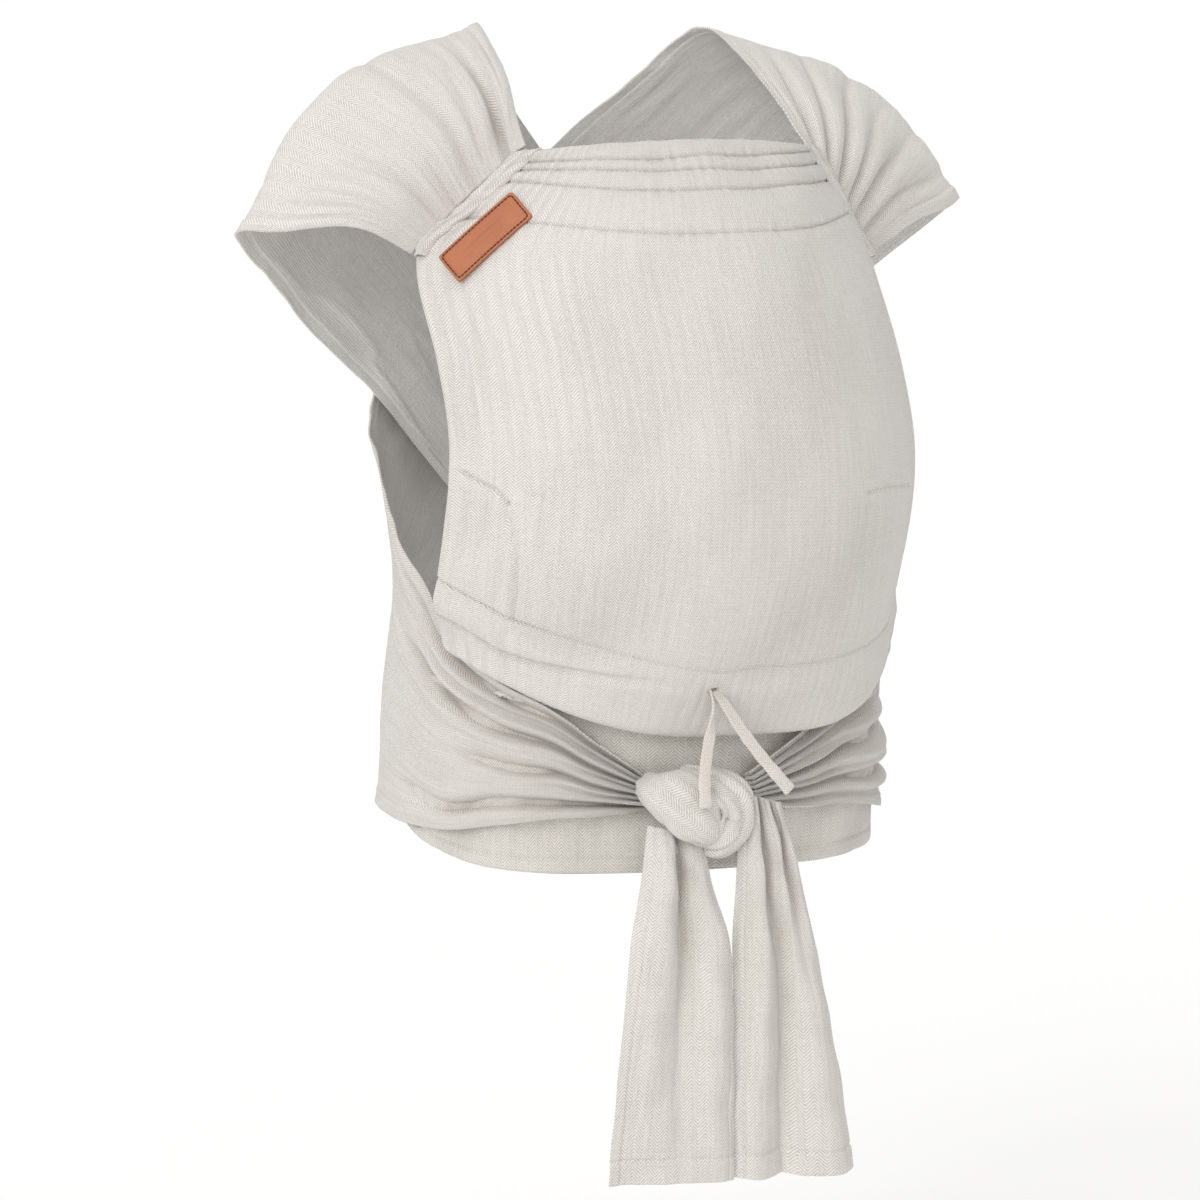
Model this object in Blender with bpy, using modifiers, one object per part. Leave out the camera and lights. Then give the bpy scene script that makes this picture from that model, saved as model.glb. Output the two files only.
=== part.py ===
"""Tie-on baby carrier with wrap straps, worn: a bulged panel hangs from two wide straps that fan
over the shoulders, cross on the back, come round the waist and are knotted in front of a padded
waistband.

Metres, +Z up, the wearer faces -Y. The origin is on the wearer's axis at the waistband's lower
edge. "left" is the -X side. Each sheet is a loft of point(u, v) thickened by Solidify.
"""

from math import cos, degrees, pi, radians, sin

import bpy
from mathutils import Vector

# ---------------------------------------------------------------- driving dimensions (m)
CLOTH = 0.0020                  # one hemmed layer of woven cloth
STRAP_CLOTH = 0.0030            # strap cloth, lying in its folds

WAISTBAND_HEIGHT = 0.120
WAISTBAND_PAD = 0.0030
HIP_RISE = 0.034                # how far the waistband's lower edge rises at the hips
PANEL_PAD = 0.0020
HEM_THICKNESS = 0.0080
SIDE_HEM_SHARE = 0.022          # share of the panel's width under each side hem
TOP_HEM_SHARE = 0.030           # shares of the panel's length under its other hems
BOTTOM_HEM_SHARE = 0.031
SEWN_GAP = 0.004                # gap between neighbouring layers, as a share of the panel
NECK_CHANNELS = (("upper", 0.040, 0.062), ("middle", 0.070, 0.098), ("lower", 0.110, 0.175))
LEG_PAD_ROWS = (0.56, 0.86)
LEG_PAD_EDGE = 0.035            # u of the leg pads' outer edge, and of their inner one
LEG_PAD_REACH = (0.19, 0.045)   # at its ends, and how much more at mid height
DRAWCORD_ROWS = (0.928, 0.948)

# Distances outwards from the wearer's torso, to the middle of each layer.
LINING_OUT = 0.0012
PAD_OUT = 0.0042
BAND_OUT = 0.0072
TIE_OUT = 0.0030
STRAP_OUT = 0.0115
CROSSING_LIFT = 0.0060          # the right strap lies over the left one on the back

# Distances inwards from the panel's outer face.
PANEL_PAD_IN = -0.0035
PANEL_LINING_IN = -0.0070

LABEL_LENGTH = 0.060
LABEL_WIDTH = 0.020
LABEL_THICKNESS = 0.0020
LABEL_AT = (0.070, 0.222)       # u and v of its middle on the panel
LABEL_OUT = 0.0040
LABEL_BEVEL = 0.0006
STITCH_INSET = 0.0018
STITCH_CORNER = 0.0016
STITCH_RADIUS = 0.0004
STITCH_CLEARANCE = 0.0003
SLIT_RING = (0.0052, 0.0009)    # radius of the stitching round the slit, and of its thread
SLIT_OUT = 0.0022
SEAM_BAND = (0.080, 0.010)      # length and width of the folded seam at each strap
SEAM_BAND_OUT = 0.0062
SEAM_BAND_BOW = 0.0015
TAPE_WIDTH = 0.008
TAPE_THICKNESS = 0.0016

SHOULDER_TILT = 0.035           # the left shoulder sits a little higher than the right
WAIST_HALF_WIDTH = 0.147
TORSO_SQUARENESS = 2.4          # exponent of the torso's superellipse section
# height, half width, half depth behind, half depth in front
TORSO = (
    (-0.030, 0.143, 0.102, 0.100),
    (0.040, WAIST_HALF_WIDTH, 0.104, 0.104),
    (0.110, 0.142, 0.100, 0.100),
    (0.180, 0.134, 0.100, 0.095),
    (0.250, 0.142, 0.104, 0.095),
    (0.320, 0.152, 0.109, 0.095),
    (0.390, 0.160, 0.112, 0.095),
    (0.460, 0.160, 0.112, 0.095),
)

# Panel, top to bottom: left edge, middle, right edge of each row.
PANEL_ROWS = (
    ((-0.097, -0.058, 0.4450), (0.0, -0.095, 0.452), (0.097, -0.058, 0.4420)),
    ((-0.127, -0.041, 0.4110), (0.0, -0.128, 0.420), (0.127, -0.041, 0.4050)),
    ((-0.156, -0.021, 0.3780), (0.0, -0.156, 0.378), (0.156, -0.021, 0.3670)),
    ((-0.160, -0.058, 0.3170), (0.0, -0.187, 0.318), (0.160, -0.058, 0.3060)),
    ((-0.160, -0.077, 0.2630), (0.0, -0.204, 0.255), (0.160, -0.077, 0.2490)),
    ((-0.160, -0.067, 0.2110), (0.0, -0.200, 0.195), (0.160, -0.067, 0.1960)),
    ((-0.157, -0.052, 0.1700), (0.0, -0.172, 0.138), (0.156, -0.052, 0.1540)),
    ((-0.152, -0.056, 0.1440), (0.0, -0.132, 0.090), (0.148, -0.060, 0.1310)),
)
PANEL_FULLNESS = (2.1, 3.0)     # top and bottom: 2 is a parabola across the panel, more is fuller
SEAM_ROW = 2 / 7                # v where the strap seam ends on the panel's side

# Shoulder strap from its seam over the shoulder to the upper back, neck edge to arm edge.
# X is measured towards the strap's own shoulder.
SHOULDER_ROWS = (
    ((0.0985, -0.0565, 0.4450), (0.1135, -0.048, 0.4290), (0.1285, -0.0395, 0.4120),
     (0.1435, -0.030, 0.3935), (0.1575, -0.0195, 0.3740)),
    ((0.088, -0.010, 0.479), (0.116, -0.022, 0.466), (0.143, -0.025, 0.447),
     (0.168, -0.019, 0.421), (0.190, -0.010, 0.392)),
    ((0.083, 0.024, 0.500), (0.120, 0.016, 0.491), (0.158, 0.012, 0.471),
     (0.193, 0.010, 0.438), (0.227, 0.012, 0.395)),
    ((0.0765, 0.060, 0.512), (0.125, 0.052, 0.499), (0.172, 0.048, 0.483),
     (0.212, 0.045, 0.450), (0.247, 0.044, 0.395)),
    ((0.060, 0.088, 0.492), (0.108, 0.086, 0.480), (0.155, 0.082, 0.457),
     (0.193, 0.076, 0.419), (0.225, 0.065, 0.368)),
    ((0.032, 0.108, 0.460), (0.080, 0.108, 0.442), (0.124, 0.104, 0.414),
     (0.161, 0.096, 0.374), (0.189, 0.083, 0.330)),
    ((0.000, 0.1225, 0.426), (0.046, 0.1215, 0.401), (0.088, 0.116, 0.371),
     (0.124, 0.105, 0.336), (0.153, 0.093, 0.299)),
    ((-0.036, 0.1235, 0.388), (0.008, 0.124, 0.360), (0.048, 0.121, 0.328),
     (0.087, 0.108, 0.296), (0.120, 0.093, 0.266)),
)
# Then round the torso: degrees from the middle of the back towards the other side, and height,
# of the upper and of the lower edge.
WRAP_ROWS = (
    ((21, 0.345), (-21, 0.205)),
    ((38, 0.302), (-1, 0.140)),
    ((54, 0.267), (16, 0.085)),
    ((68, 0.238), (40, 0.048)),
    ((82, 0.204), (66, 0.034)),
    ((98, 0.172), (90, 0.028)),
    ((113, 0.142), (110, 0.026)),
    ((130, 0.116), (130, 0.031)),
    ((146, 0.097), (147, 0.037)),
    ((158, 0.075), (158, 0.040)),
    ((167, 0.057), (167, 0.043)),
)
# How much of the crossing lift each row of the right strap takes.
CROSSING_SHARE = (0, 0, 0, 0, 0.1, 0.5, 0.9, 1.4, 2.1, 2.5, 2.0, 0.7, 0.2, 0, 0, 0, 0, 0, 0)
STRAP_SPANS = len(SHOULDER_ROWS) + len(WRAP_ROWS) - 1
BACK_START = 5 / STRAP_SPANS    # v along the whole strap where its back section begins
WAIST_START = 12 / STRAP_SPANS  # and its waist section
KNOT_CENTRE = Vector((-0.008, -0.141, 0.036))
KNOT_HALF = Vector((0.044, 0.019, 0.023))
KNOT_SPLIT = 0.57               # share of the knot's width in its left loop
KNOT_GAP = 0.001
KNOT_DROP = 0.004               # the right loop sits lower
NEAR_KNOT_ROW = 7               # wrap row from which the strap rises towards the knot
NEAR_KNOT_RISE = 0.004

TAIL_TOP = 0.006
TAIL_LENGTH = 0.193
TAIL_SWING_Y = -0.143
TAIL_FOLD = 0.0055
# X of each tail's edges, at the knot and at the hem.
TAIL_EDGES = (("left", (-0.050, -0.020), (-0.083, 0.0005)),
              ("right", (0.004, 0.034), (0.0030, 0.085)))

BAND_TURNS = (82, 278)          # degrees round the torso that the waistband covers
BACK_KNOT_TURN = 6.5            # where each waist tie meets the knot behind
BACK_KNOT_HEIGHT = 0.045
BACK_KNOT_OUT = 0.012
BACK_KNOT_HALF = (0.0215, 0.0105, 0.019)
TIE_START = (81, 0.076, 0.040)  # turn, height and half breadth where a waist tie begins
TIE_END_TURN = 34
TIE_END_HALF = 0.013

SLIT_AT = (0.458, 0.925)         # u and v of the slit that the drawcord leaves by
# Free ends of the drawcord, from the slit down over the knot.
TAPE_LEFT = ((-0.0150, -0.1590, 0.1085), (-0.0175, -0.1600, 0.100), (-0.0210, -0.1600, 0.088),
             (-0.0250, -0.1620, 0.074), (-0.0272, -0.1645, 0.061), (-0.0262, -0.1660, 0.047))
TAPE_RIGHT = ((-0.0075, -0.1590, 0.1085), (-0.0025, -0.1600, 0.101), (0.0060, -0.1595, 0.087),
              (0.0160, -0.1590, 0.075), (0.0260, -0.1585, 0.064), (0.0372, -0.1580, 0.053))

COLOURS = {                     # base colour, roughness
    "panel_cloth": ((0.74, 0.71, 0.66), 0.9),
    "strap_cloth": ((0.72, 0.69, 0.63), 0.9),
    "lining_cloth": ((0.56, 0.54, 0.51), 0.95),
    "band_cloth": ((0.66, 0.62, 0.56), 0.9),
    "padding": ((0.85, 0.84, 0.80), 1.0),
    "tape": ((0.74, 0.71, 0.65), 0.9),
    "leather": ((0.50, 0.17, 0.07), 0.5),
    "thread": ((0.14, 0.04, 0.02), 0.7),
}


# ---------------------------------------------------------------- scene set-up
def start_scene():
    for old in list(bpy.data.objects):
        bpy.data.objects.remove(old)
    group = bpy.data.collections.new("baby_carrier")
    bpy.context.scene.collection.children.link(group)
    return group


def make_materials():
    made = {}
    for name, (colour, roughness) in COLOURS.items():
        made[name] = bpy.data.materials.new(name)
        made[name].use_nodes = True
        shader = made[name].node_tree.nodes["Principled BSDF"]
        shader.inputs["Base Color"].default_value = (*colour, 1.0)
        shader.inputs["Roughness"].default_value = roughness
        shader.inputs["Metallic"].default_value = 0.0
    return made


PARTS = start_scene()
MATERIALS = make_materials()


def add_object(name, data, slot):
    made = bpy.data.objects.new(name, data)
    data.materials.append(MATERIALS[slot])
    PARTS.objects.link(made)
    return made


def adopt(made, slot):
    """Give a primitive its material and move it to the part's collection."""
    made.data.materials.append(MATERIALS[slot])
    for group in made.users_collection:
        group.objects.unlink(made)
    PARTS.objects.link(made)


# ---------------------------------------------------------------- curves and sheets
def spline(points, t):
    """Point of the smooth curve through the points, t from 0 to 1."""
    spans = len(points) - 1
    i = min(int(t * spans), spans - 1)
    f = t * spans - i
    p1, p2 = points[i], points[i + 1]
    p0 = points[i - 1] if i > 0 else 2 * p1 - p2
    p3 = points[i + 2] if i + 2 <= spans else 2 * p2 - p1
    return (p1 + 0.5 * f * (p2 - p0)
            + f * f * (p0 - 2.5 * p1 + 2 * p2 - 0.5 * p3)
            + 0.5 * f ** 3 * (3 * p1 - p0 - 3 * p2 + p3))


def mix(a, b, t):
    return a + (b - a) * t


def normal(point, u, v):
    """Unit normal of point(u, v), on the side of u crossed with v."""
    step = 0.002
    du = point(min(u + step, 1.0), v) - point(max(u - step, 0.0), v)
    dv = point(u, min(v + step, 1.0)) - point(u, max(v - step, 0.0))
    return du.cross(dv).normalized()


def raised(point, distance):
    return lambda u, v: point(u, v) + distance * normal(point, u, v)


def patch(point, u_range, v_range):
    """The part of a surface between two u and two v."""
    return lambda u, v: point(mix(*u_range, u), mix(*v_range, v))


def sheet(name, point, across, along, thickness, slot):
    """A loft of point(u, v), u and v from 0 to 1, with half its thickness on each side."""
    verts = [point(i / across, j / along) for j in range(along + 1) for i in range(across + 1)]
    row = across + 1
    faces = [(j * row + i, j * row + i + 1, (j + 1) * row + i + 1, (j + 1) * row + i)
             for j in range(along) for i in range(across)]
    mesh = bpy.data.meshes.new(name)
    mesh.from_pydata(verts, [], faces)
    mesh.shade_smooth()
    made = add_object(name, mesh, slot)
    shell = made.modifiers.new("thickness", "SOLIDIFY")
    shell.thickness = thickness
    shell.offset = 0.0
    return made


def rounded_lump(name, centre, half, slot):
    """An ellipsoid with the given half sizes."""
    bpy.ops.mesh.primitive_uv_sphere_add(segments=16, ring_count=10, radius=1.0)
    made = bpy.context.object
    made.name = name
    made.data.name = name
    for vert in made.data.vertices:
        vert.co = Vector(c * h for c, h in zip(vert.co, half))
    made.location = centre
    made.data.shade_smooth()
    adopt(made, slot)


# ---------------------------------------------------------------- the wearer's torso
def torso(turn, z, out):
    """Point on the torso, turn in degrees from the middle of the back towards +X."""
    low, high = TORSO[0][0], TORSO[-1][0]
    t = min(max((z - low) / (high - low), 0.0), 1.0)
    half_width = spline([row[1] for row in TORSO], t) + out
    behind = spline([row[2] for row in TORSO], t) + out
    before = spline([row[3] for row in TORSO], t) + out
    s, c = sin(radians(turn)), cos(radians(turn))
    power = 2 / TORSO_SQUARENESS
    x = half_width * abs(s) ** power * (1 if s >= 0 else -1)
    y = behind * abs(c) ** power if c >= 0 else -before * abs(c) ** power
    return Vector((x, y, z))


# ---------------------------------------------------------------- panel
def panel(u, v):
    """The panel's outer face: u from the left edge to the right, v from the top down."""
    left = spline([Vector(row[0]) for row in PANEL_ROWS], v)
    middle = spline([Vector(row[1]) for row in PANEL_ROWS], v)
    right = spline([Vector(row[2]) for row in PANEL_ROWS], v)
    bulge = 1 - abs(2 * u - 1) ** mix(*PANEL_FULLNESS, v ** 3)
    return mix(left, right, u) + (middle - 0.5 * (left + right)) * bulge


def inside(distance):
    """The panel's face moved by a distance, negative towards the wearer."""
    return raised(panel, -distance)


def make_panel():
    across = (SIDE_HEM_SHARE, 1 - SIDE_HEM_SHARE)
    down = (TOP_HEM_SHARE + SEWN_GAP, 1 - BOTTOM_HEM_SHARE - SEWN_GAP)
    layers = (("panel_outer", 0.0, "panel_cloth"), ("panel_lining", PANEL_LINING_IN, "lining_cloth"))
    for name, distance, slot in layers:
        sheet(name, patch(inside(distance), across, down), 20, 20, CLOTH, slot)
    middle = inside(PANEL_PAD_IN)
    hems = (
        ("top_hem", (0.008, 0.992), (0.0, TOP_HEM_SHARE), 16, 1),
        ("bottom_hem", across, (1 - BOTTOM_HEM_SHARE, 1.0), 16, 1),
        ("side_hem_left", (0.0, SIDE_HEM_SHARE - 0.003), (SEAM_ROW + SEWN_GAP, 1.0), 1, 16),
        ("side_hem_right", (1.003 - SIDE_HEM_SHARE, 1.0), (SEAM_ROW + SEWN_GAP, 1.0), 1, 16),
    )
    for name, u_range, v_range, columns, rows in hems:
        sheet(name, patch(middle, u_range, v_range), columns, rows, HEM_THICKNESS, "panel_cloth")
    for name, top, bottom in NECK_CHANNELS:
        sheet(f"neck_pad_{name}", patch(middle, (0.05, 0.95), (top, bottom)),
              14, 1, PANEL_PAD, "padding")


def make_leg_pads():
    """Thin pads between the panel's layers, wide at mid height, with a curved inner seam."""
    def pad(side, u, v):
        reach, swell = LEG_PAD_REACH
        depth = mix(LEG_PAD_EDGE, reach + swell * sin(pi * v), u)
        across = depth if side < 0 else 1 - depth
        return inside(PANEL_PAD_IN)(across, mix(*LEG_PAD_ROWS, v))

    for name, side in (("left", -1), ("right", 1)):
        sheet(f"leg_pad_{name}", lambda u, v: pad(side, u, v), 5, 10, PANEL_PAD, "padding")


def make_drawcord():
    """Two flat tapes in the bottom channel, and their free ends out of one slit."""
    for name, run in (("left", (0.14, 0.49)), ("right", (0.86, 0.51))):
        sheet(f"drawcord_{name}", patch(inside(PANEL_PAD_IN), run, DRAWCORD_ROWS),
              14, 1, TAPE_THICKNESS, "tape")

    for name, route in (("left", TAPE_LEFT), ("right", TAPE_RIGHT)):
        points = [Vector(p) for p in route]

        def tape(u, v):
            middle = spline(points, v)
            along = spline(points, min(v + 0.01, 1.0)) - spline(points, max(v - 0.01, 0.0))
            sideways = along.cross(Vector((0, -1, 0))).normalized()
            return middle + (u - 0.5) * TAPE_WIDTH * sideways

        sheet(f"drawcord_end_{name}", tape, 1, 12, TAPE_THICKNESS, "tape")

    bpy.ops.mesh.primitive_torus_add(major_segments=12, minor_segments=6,
                                     major_radius=SLIT_RING[0], minor_radius=SLIT_RING[1])
    ring = bpy.context.object
    ring.name = "slit_stitching"
    ring.rotation_mode = "QUATERNION"
    ring.rotation_quaternion = normal(panel, *SLIT_AT).to_track_quat("Z", "Y")
    ring.location = inside(SLIT_OUT)(*SLIT_AT)
    adopt(ring, "tape")


# ---------------------------------------------------------------- straps
def strap_rows(side):
    """Rows of five points along one strap, from its seam to the knot."""
    lifts = [CROSSING_LIFT * share if side > 0 else 0.0 for share in CROSSING_SHARE]
    rows = []
    for row, lift in zip(SHOULDER_ROWS, lifts):
        rows.append([Vector((side * x, y + lift, z - SHOULDER_TILT * side * x)) for x, y, z in row])
    knot_shift = degrees(KNOT_CENTRE.x / WAIST_HALF_WIDTH)
    for index, (upper, lower) in enumerate(WRAP_ROWS):
        out = STRAP_OUT + lifts[len(SHOULDER_ROWS) + index]
        near_knot = max(0.0, (index - NEAR_KNOT_ROW) / (len(WRAP_ROWS) - 1 - NEAR_KNOT_ROW))
        rise = NEAR_KNOT_RISE * near_knot
        row = []
        for step in range(5):
            turn, z = (mix(a, b, step / 4) for a, b in zip(upper, lower))
            row.append(torso(-side * turn - knot_shift * near_knot, z, out + rise))
        rows.append(row)
    return rows


def strap(side):
    rows = strap_rows(side)
    return lambda u, v: spline([spline(row, u) for row in rows], v)


def make_straps():
    for name, side in (("left", -1), ("right", 1)):
        face = strap(side)
        opposite = "right" if side < 0 else "left"
        sections = (
            (f"strap_shoulder_{name}", (0.0, BACK_START - 0.001), 10, 10),
            (f"strap_back_{name}", (BACK_START + 0.001, WAIST_START - 0.001), 8, 14),
            (f"strap_waist_{opposite}", (WAIST_START + 0.001, 1.0), 8, 14),
        )
        for section, span, across, along in sections:
            sheet(section, patch(face, (0.0, 1.0), span), across, along, STRAP_CLOTH, "strap_cloth")
        make_seam_band(name, side)


def seam_frame(side):
    """Middle, direction and outward normal of the seam between a strap and the panel."""
    u = 0.0 if side < 0 else 1.0
    top, bottom = panel(u, 0.0), panel(u, SEAM_ROW)
    along = (bottom - top).normalized()
    facing = Vector((side * 0.50, -0.82, 0.30))
    facing = (facing - along * facing.dot(along)).normalized()
    return 0.5 * (top + bottom), along, facing


def make_seam_band(name, side):
    middle, along, facing = seam_frame(side)
    sideways = along.cross(facing)
    length, width = SEAM_BAND

    def band(u, v):
        bow = SEAM_BAND_BOW * (1 - (2 * v - 1) ** 2)
        return (middle + along * length * (v - 0.5) + sideways * width * (u - 0.5)
                + facing * (SEAM_BAND_OUT + bow))

    sheet(f"strap_seam_{name}", band, 2, 8, CLOTH, "strap_cloth")


def make_label():
    """Leather label on the panel beside the left strap's seam, with one closed line of stitching."""
    seam_along = seam_frame(-1)[1]
    facing = -normal(panel, *LABEL_AT)
    along = (seam_along - facing * seam_along.dot(facing)).normalized()
    centre = panel(*LABEL_AT) + facing * LABEL_OUT
    bpy.ops.mesh.primitive_cube_add(size=1.0)
    label = bpy.context.object
    label.name = "leather_label"
    for vert in label.data.vertices:
        vert.co = Vector((vert.co.x * LABEL_LENGTH, vert.co.y * LABEL_WIDTH,
                          vert.co.z * LABEL_THICKNESS))
    corners = label.modifiers.new("corners", "BEVEL")
    corners.width = LABEL_BEVEL
    corners.segments = 2
    place(label, centre, along, facing)
    adopt(label, "leather")

    line = bpy.data.curves.new("label_stitching", "CURVE")
    line.dimensions = "3D"
    line.bevel_depth = STITCH_RADIUS
    line.bevel_resolution = 1
    outline = rounded_rectangle(LABEL_LENGTH / 2 - STITCH_INSET, LABEL_WIDTH / 2 - STITCH_INSET,
                                STITCH_CORNER)
    height = LABEL_THICKNESS / 2 + STITCH_RADIUS + STITCH_CLEARANCE
    path = line.splines.new("POLY")
    path.points.add(len(outline) - 1)
    for point, (x, y) in zip(path.points, outline):
        point.co = (x, y, height, 1.0)
    path.use_cyclic_u = True
    stitching = add_object("label_stitching", line, "thread")
    place(stitching, centre, along, facing)


def rounded_rectangle(half_length, half_width, radius):
    """Corner arcs of a rectangle, three points a corner."""
    points = []
    for corner, (sx, sy) in enumerate(((1, 1), (-1, 1), (-1, -1), (1, -1))):
        for step in range(3):
            angle = (corner + step / 2) * pi / 2
            points.append((sx * (half_length - radius) + radius * cos(angle),
                           sy * (half_width - radius) + radius * sin(angle)))
    return points


def place(item, centre, along, facing):
    """Turn an object so that its X runs along and its Z faces out."""
    sideways = facing.cross(along)
    matrix = item.matrix_world.copy()
    for row in range(3):
        matrix[row][0], matrix[row][1], matrix[row][2] = along[row], sideways[row], facing[row]
        matrix[row][3] = centre[row]
    item.matrix_world = matrix


# ---------------------------------------------------------------- knot and tails
def make_knot():
    left, right = KNOT_CENTRE.x - KNOT_HALF.x, KNOT_CENTRE.x + KNOT_HALF.x
    split = mix(left, right, KNOT_SPLIT)
    loops = (("knot_loop_left", left, split - KNOT_GAP / 2, 0.0),
             ("knot_loop_right", split + KNOT_GAP / 2, right, KNOT_DROP))
    for name, start, end, drop in loops:
        centre = Vector((0.5 * (start + end), KNOT_CENTRE.y, KNOT_CENTRE.z - drop))
        rounded_lump(name, centre, ((end - start) / 2, KNOT_HALF.y, KNOT_HALF.z), "strap_cloth")


def make_tails():
    """Strap ends: bunched under the knot, spreading in soft folds to the hem."""
    for name, top, bottom in TAIL_EDGES:
        def tail(u, v):
            spread = sin(0.5 * pi * min(v * 1.25, 1.0))
            x = mix(mix(*top, u), mix(*bottom, u), spread)
            fold = TAIL_FOLD * min(1.0, 0.35 + v) * sin(4 * pi * u + 0.6)
            return Vector((x, TAIL_SWING_Y + fold, TAIL_TOP - v * TAIL_LENGTH))

        sheet(f"tail_{name}", tail, 16, 8, CLOTH, "strap_cloth")


# ---------------------------------------------------------------- waist
def make_waistband():
    """Three layers round the front, from one hip to the other."""
    layers = (("waistband_lining", LINING_OUT, 0.0016, "lining_cloth", 0.0),
              ("waistband_pad", PAD_OUT, WAISTBAND_PAD, "padding", 0.006),
              ("waistband_outer", BAND_OUT, CLOTH, "band_cloth", 0.0))
    for name, out, thickness, slot, inset in layers:
        def band(u, v):
            z = mix(WAISTBAND_HEIGHT - inset, waistband_foot(u) + inset, v)
            return torso(mix(*BAND_TURNS, u), z, out)

        sheet(name, band, 28, 3, thickness, slot)


def waistband_foot(u):
    """The waistband's lower edge rises towards the hips."""
    return HIP_RISE * abs(2 * u - 1) ** 4


def make_waist_ties():
    """Ties from the waistband's ends to a flat knot behind, their ends tucked flat along them."""
    start_turn, start_height, start_half = TIE_START
    for name, side in (("left", -1), ("right", 1)):
        def tie(u, v):
            half = mix(start_half, 0.016, min(1.0, v * 1.15))
            height = mix(start_height, BACK_KNOT_HEIGHT, v) + mix(half, -half, u)
            return torso(side * mix(start_turn, BACK_KNOT_TURN, v), height, mix(0.0042, TIE_OUT, v))

        def end(u, v):
            height = mix(BACK_KNOT_HEIGHT - 0.004, 0.038, v) + mix(TIE_END_HALF, -TIE_END_HALF, u)
            turn = mix(BACK_KNOT_TURN + 2, TIE_END_TURN, v)
            return torso(side * turn, height, mix(0.0085, 0.0066, v))

        sheet(f"waist_tie_{name}", tie, 4, 14, CLOTH, "band_cloth")
        sheet(f"waist_tie_end_{name}", end, 2, 6, CLOTH, "band_cloth")
    centre = torso(0, BACK_KNOT_HEIGHT, BACK_KNOT_OUT)
    rounded_lump("waist_knot", centre, BACK_KNOT_HALF, "band_cloth")


def make_seat_fold():
    """Cloth from the panel's bottom hem back to the waistband's upper edge."""
    front = inside(PANEL_PAD_IN - 0.5 * HEM_THICKNESS - 0.0015)

    def fold(u, v):
        start = front(mix(0.28, 0.72, u), 0.985)
        end = torso(mix(204, 156, u), 0.114, BAND_OUT + 0.0030)
        return mix(start, end, v) - Vector((0, 0, 0.003 * sin(pi * v)))

    sheet("seat_fold", fold, 12, 3, CLOTH, "lining_cloth")


make_panel()
make_leg_pads()
make_drawcord()
make_straps()
make_label()
make_knot()
make_tails()
make_waistband()
make_waist_ties()
make_seat_fold()
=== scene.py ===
"""Tie-on baby carrier with wrap straps, shown as worn: cloth panel, fanned and crossed straps,
padded waistband, front knot with two hanging tails, drawcord tapes and a blank leather label.

Metres, +Z up, the wearer faces -Y, "left" is the -X side, as in the CAD model that is loaded
first. The sheets are lofts through the CAD model's own rows, with folds, seams and hems modelled
on top of them.
"""

from math import cos, degrees, pi, radians, sin

import bpy
import numpy as np
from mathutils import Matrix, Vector


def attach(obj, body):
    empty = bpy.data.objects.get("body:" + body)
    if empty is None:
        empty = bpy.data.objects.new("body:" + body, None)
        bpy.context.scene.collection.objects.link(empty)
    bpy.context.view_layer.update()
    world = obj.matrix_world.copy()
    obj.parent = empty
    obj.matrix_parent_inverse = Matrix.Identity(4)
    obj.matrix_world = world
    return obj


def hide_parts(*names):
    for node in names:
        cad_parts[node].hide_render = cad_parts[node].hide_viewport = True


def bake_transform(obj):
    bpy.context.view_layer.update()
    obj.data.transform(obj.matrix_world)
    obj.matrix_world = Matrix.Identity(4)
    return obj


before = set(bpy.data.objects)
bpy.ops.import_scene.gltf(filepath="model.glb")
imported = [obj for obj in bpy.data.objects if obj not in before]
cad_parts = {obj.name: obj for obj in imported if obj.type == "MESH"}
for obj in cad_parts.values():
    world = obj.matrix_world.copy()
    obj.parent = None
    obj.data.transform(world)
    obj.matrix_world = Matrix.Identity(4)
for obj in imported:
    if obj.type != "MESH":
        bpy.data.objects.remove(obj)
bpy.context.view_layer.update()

# ---------------------------------------------------------------- camera
VIEW_AZIMUTH = radians(-25)
VIEW_ELEVATION = radians(6)
VIEW_DISTANCE = 8.0
VIEW_LENS = 384.0
VIEW_RIGHT = -0.01875           # the frame's middle, sideways and upwards from the origin
VIEW_UP = 0.15625


def make_camera():
    towards = Vector((sin(VIEW_AZIMUTH) * cos(VIEW_ELEVATION),
                      -cos(VIEW_AZIMUTH) * cos(VIEW_ELEVATION), sin(VIEW_ELEVATION)))
    right = Vector((cos(VIEW_AZIMUTH), sin(VIEW_AZIMUTH), 0))
    upwards = towards.cross(right)
    data = bpy.data.cameras.new("camera")
    data.lens = VIEW_LENS
    data.sensor_width = 36.0
    data.clip_end = 60.0
    camera = bpy.data.objects.new("camera", data)
    camera.location = right * VIEW_RIGHT + upwards * VIEW_UP + towards * VIEW_DISTANCE
    camera.rotation_euler = towards.to_track_quat("Z", "Y").to_euler()
    bpy.context.scene.collection.objects.link(camera)
    bpy.context.scene.camera = camera


make_camera()

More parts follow.
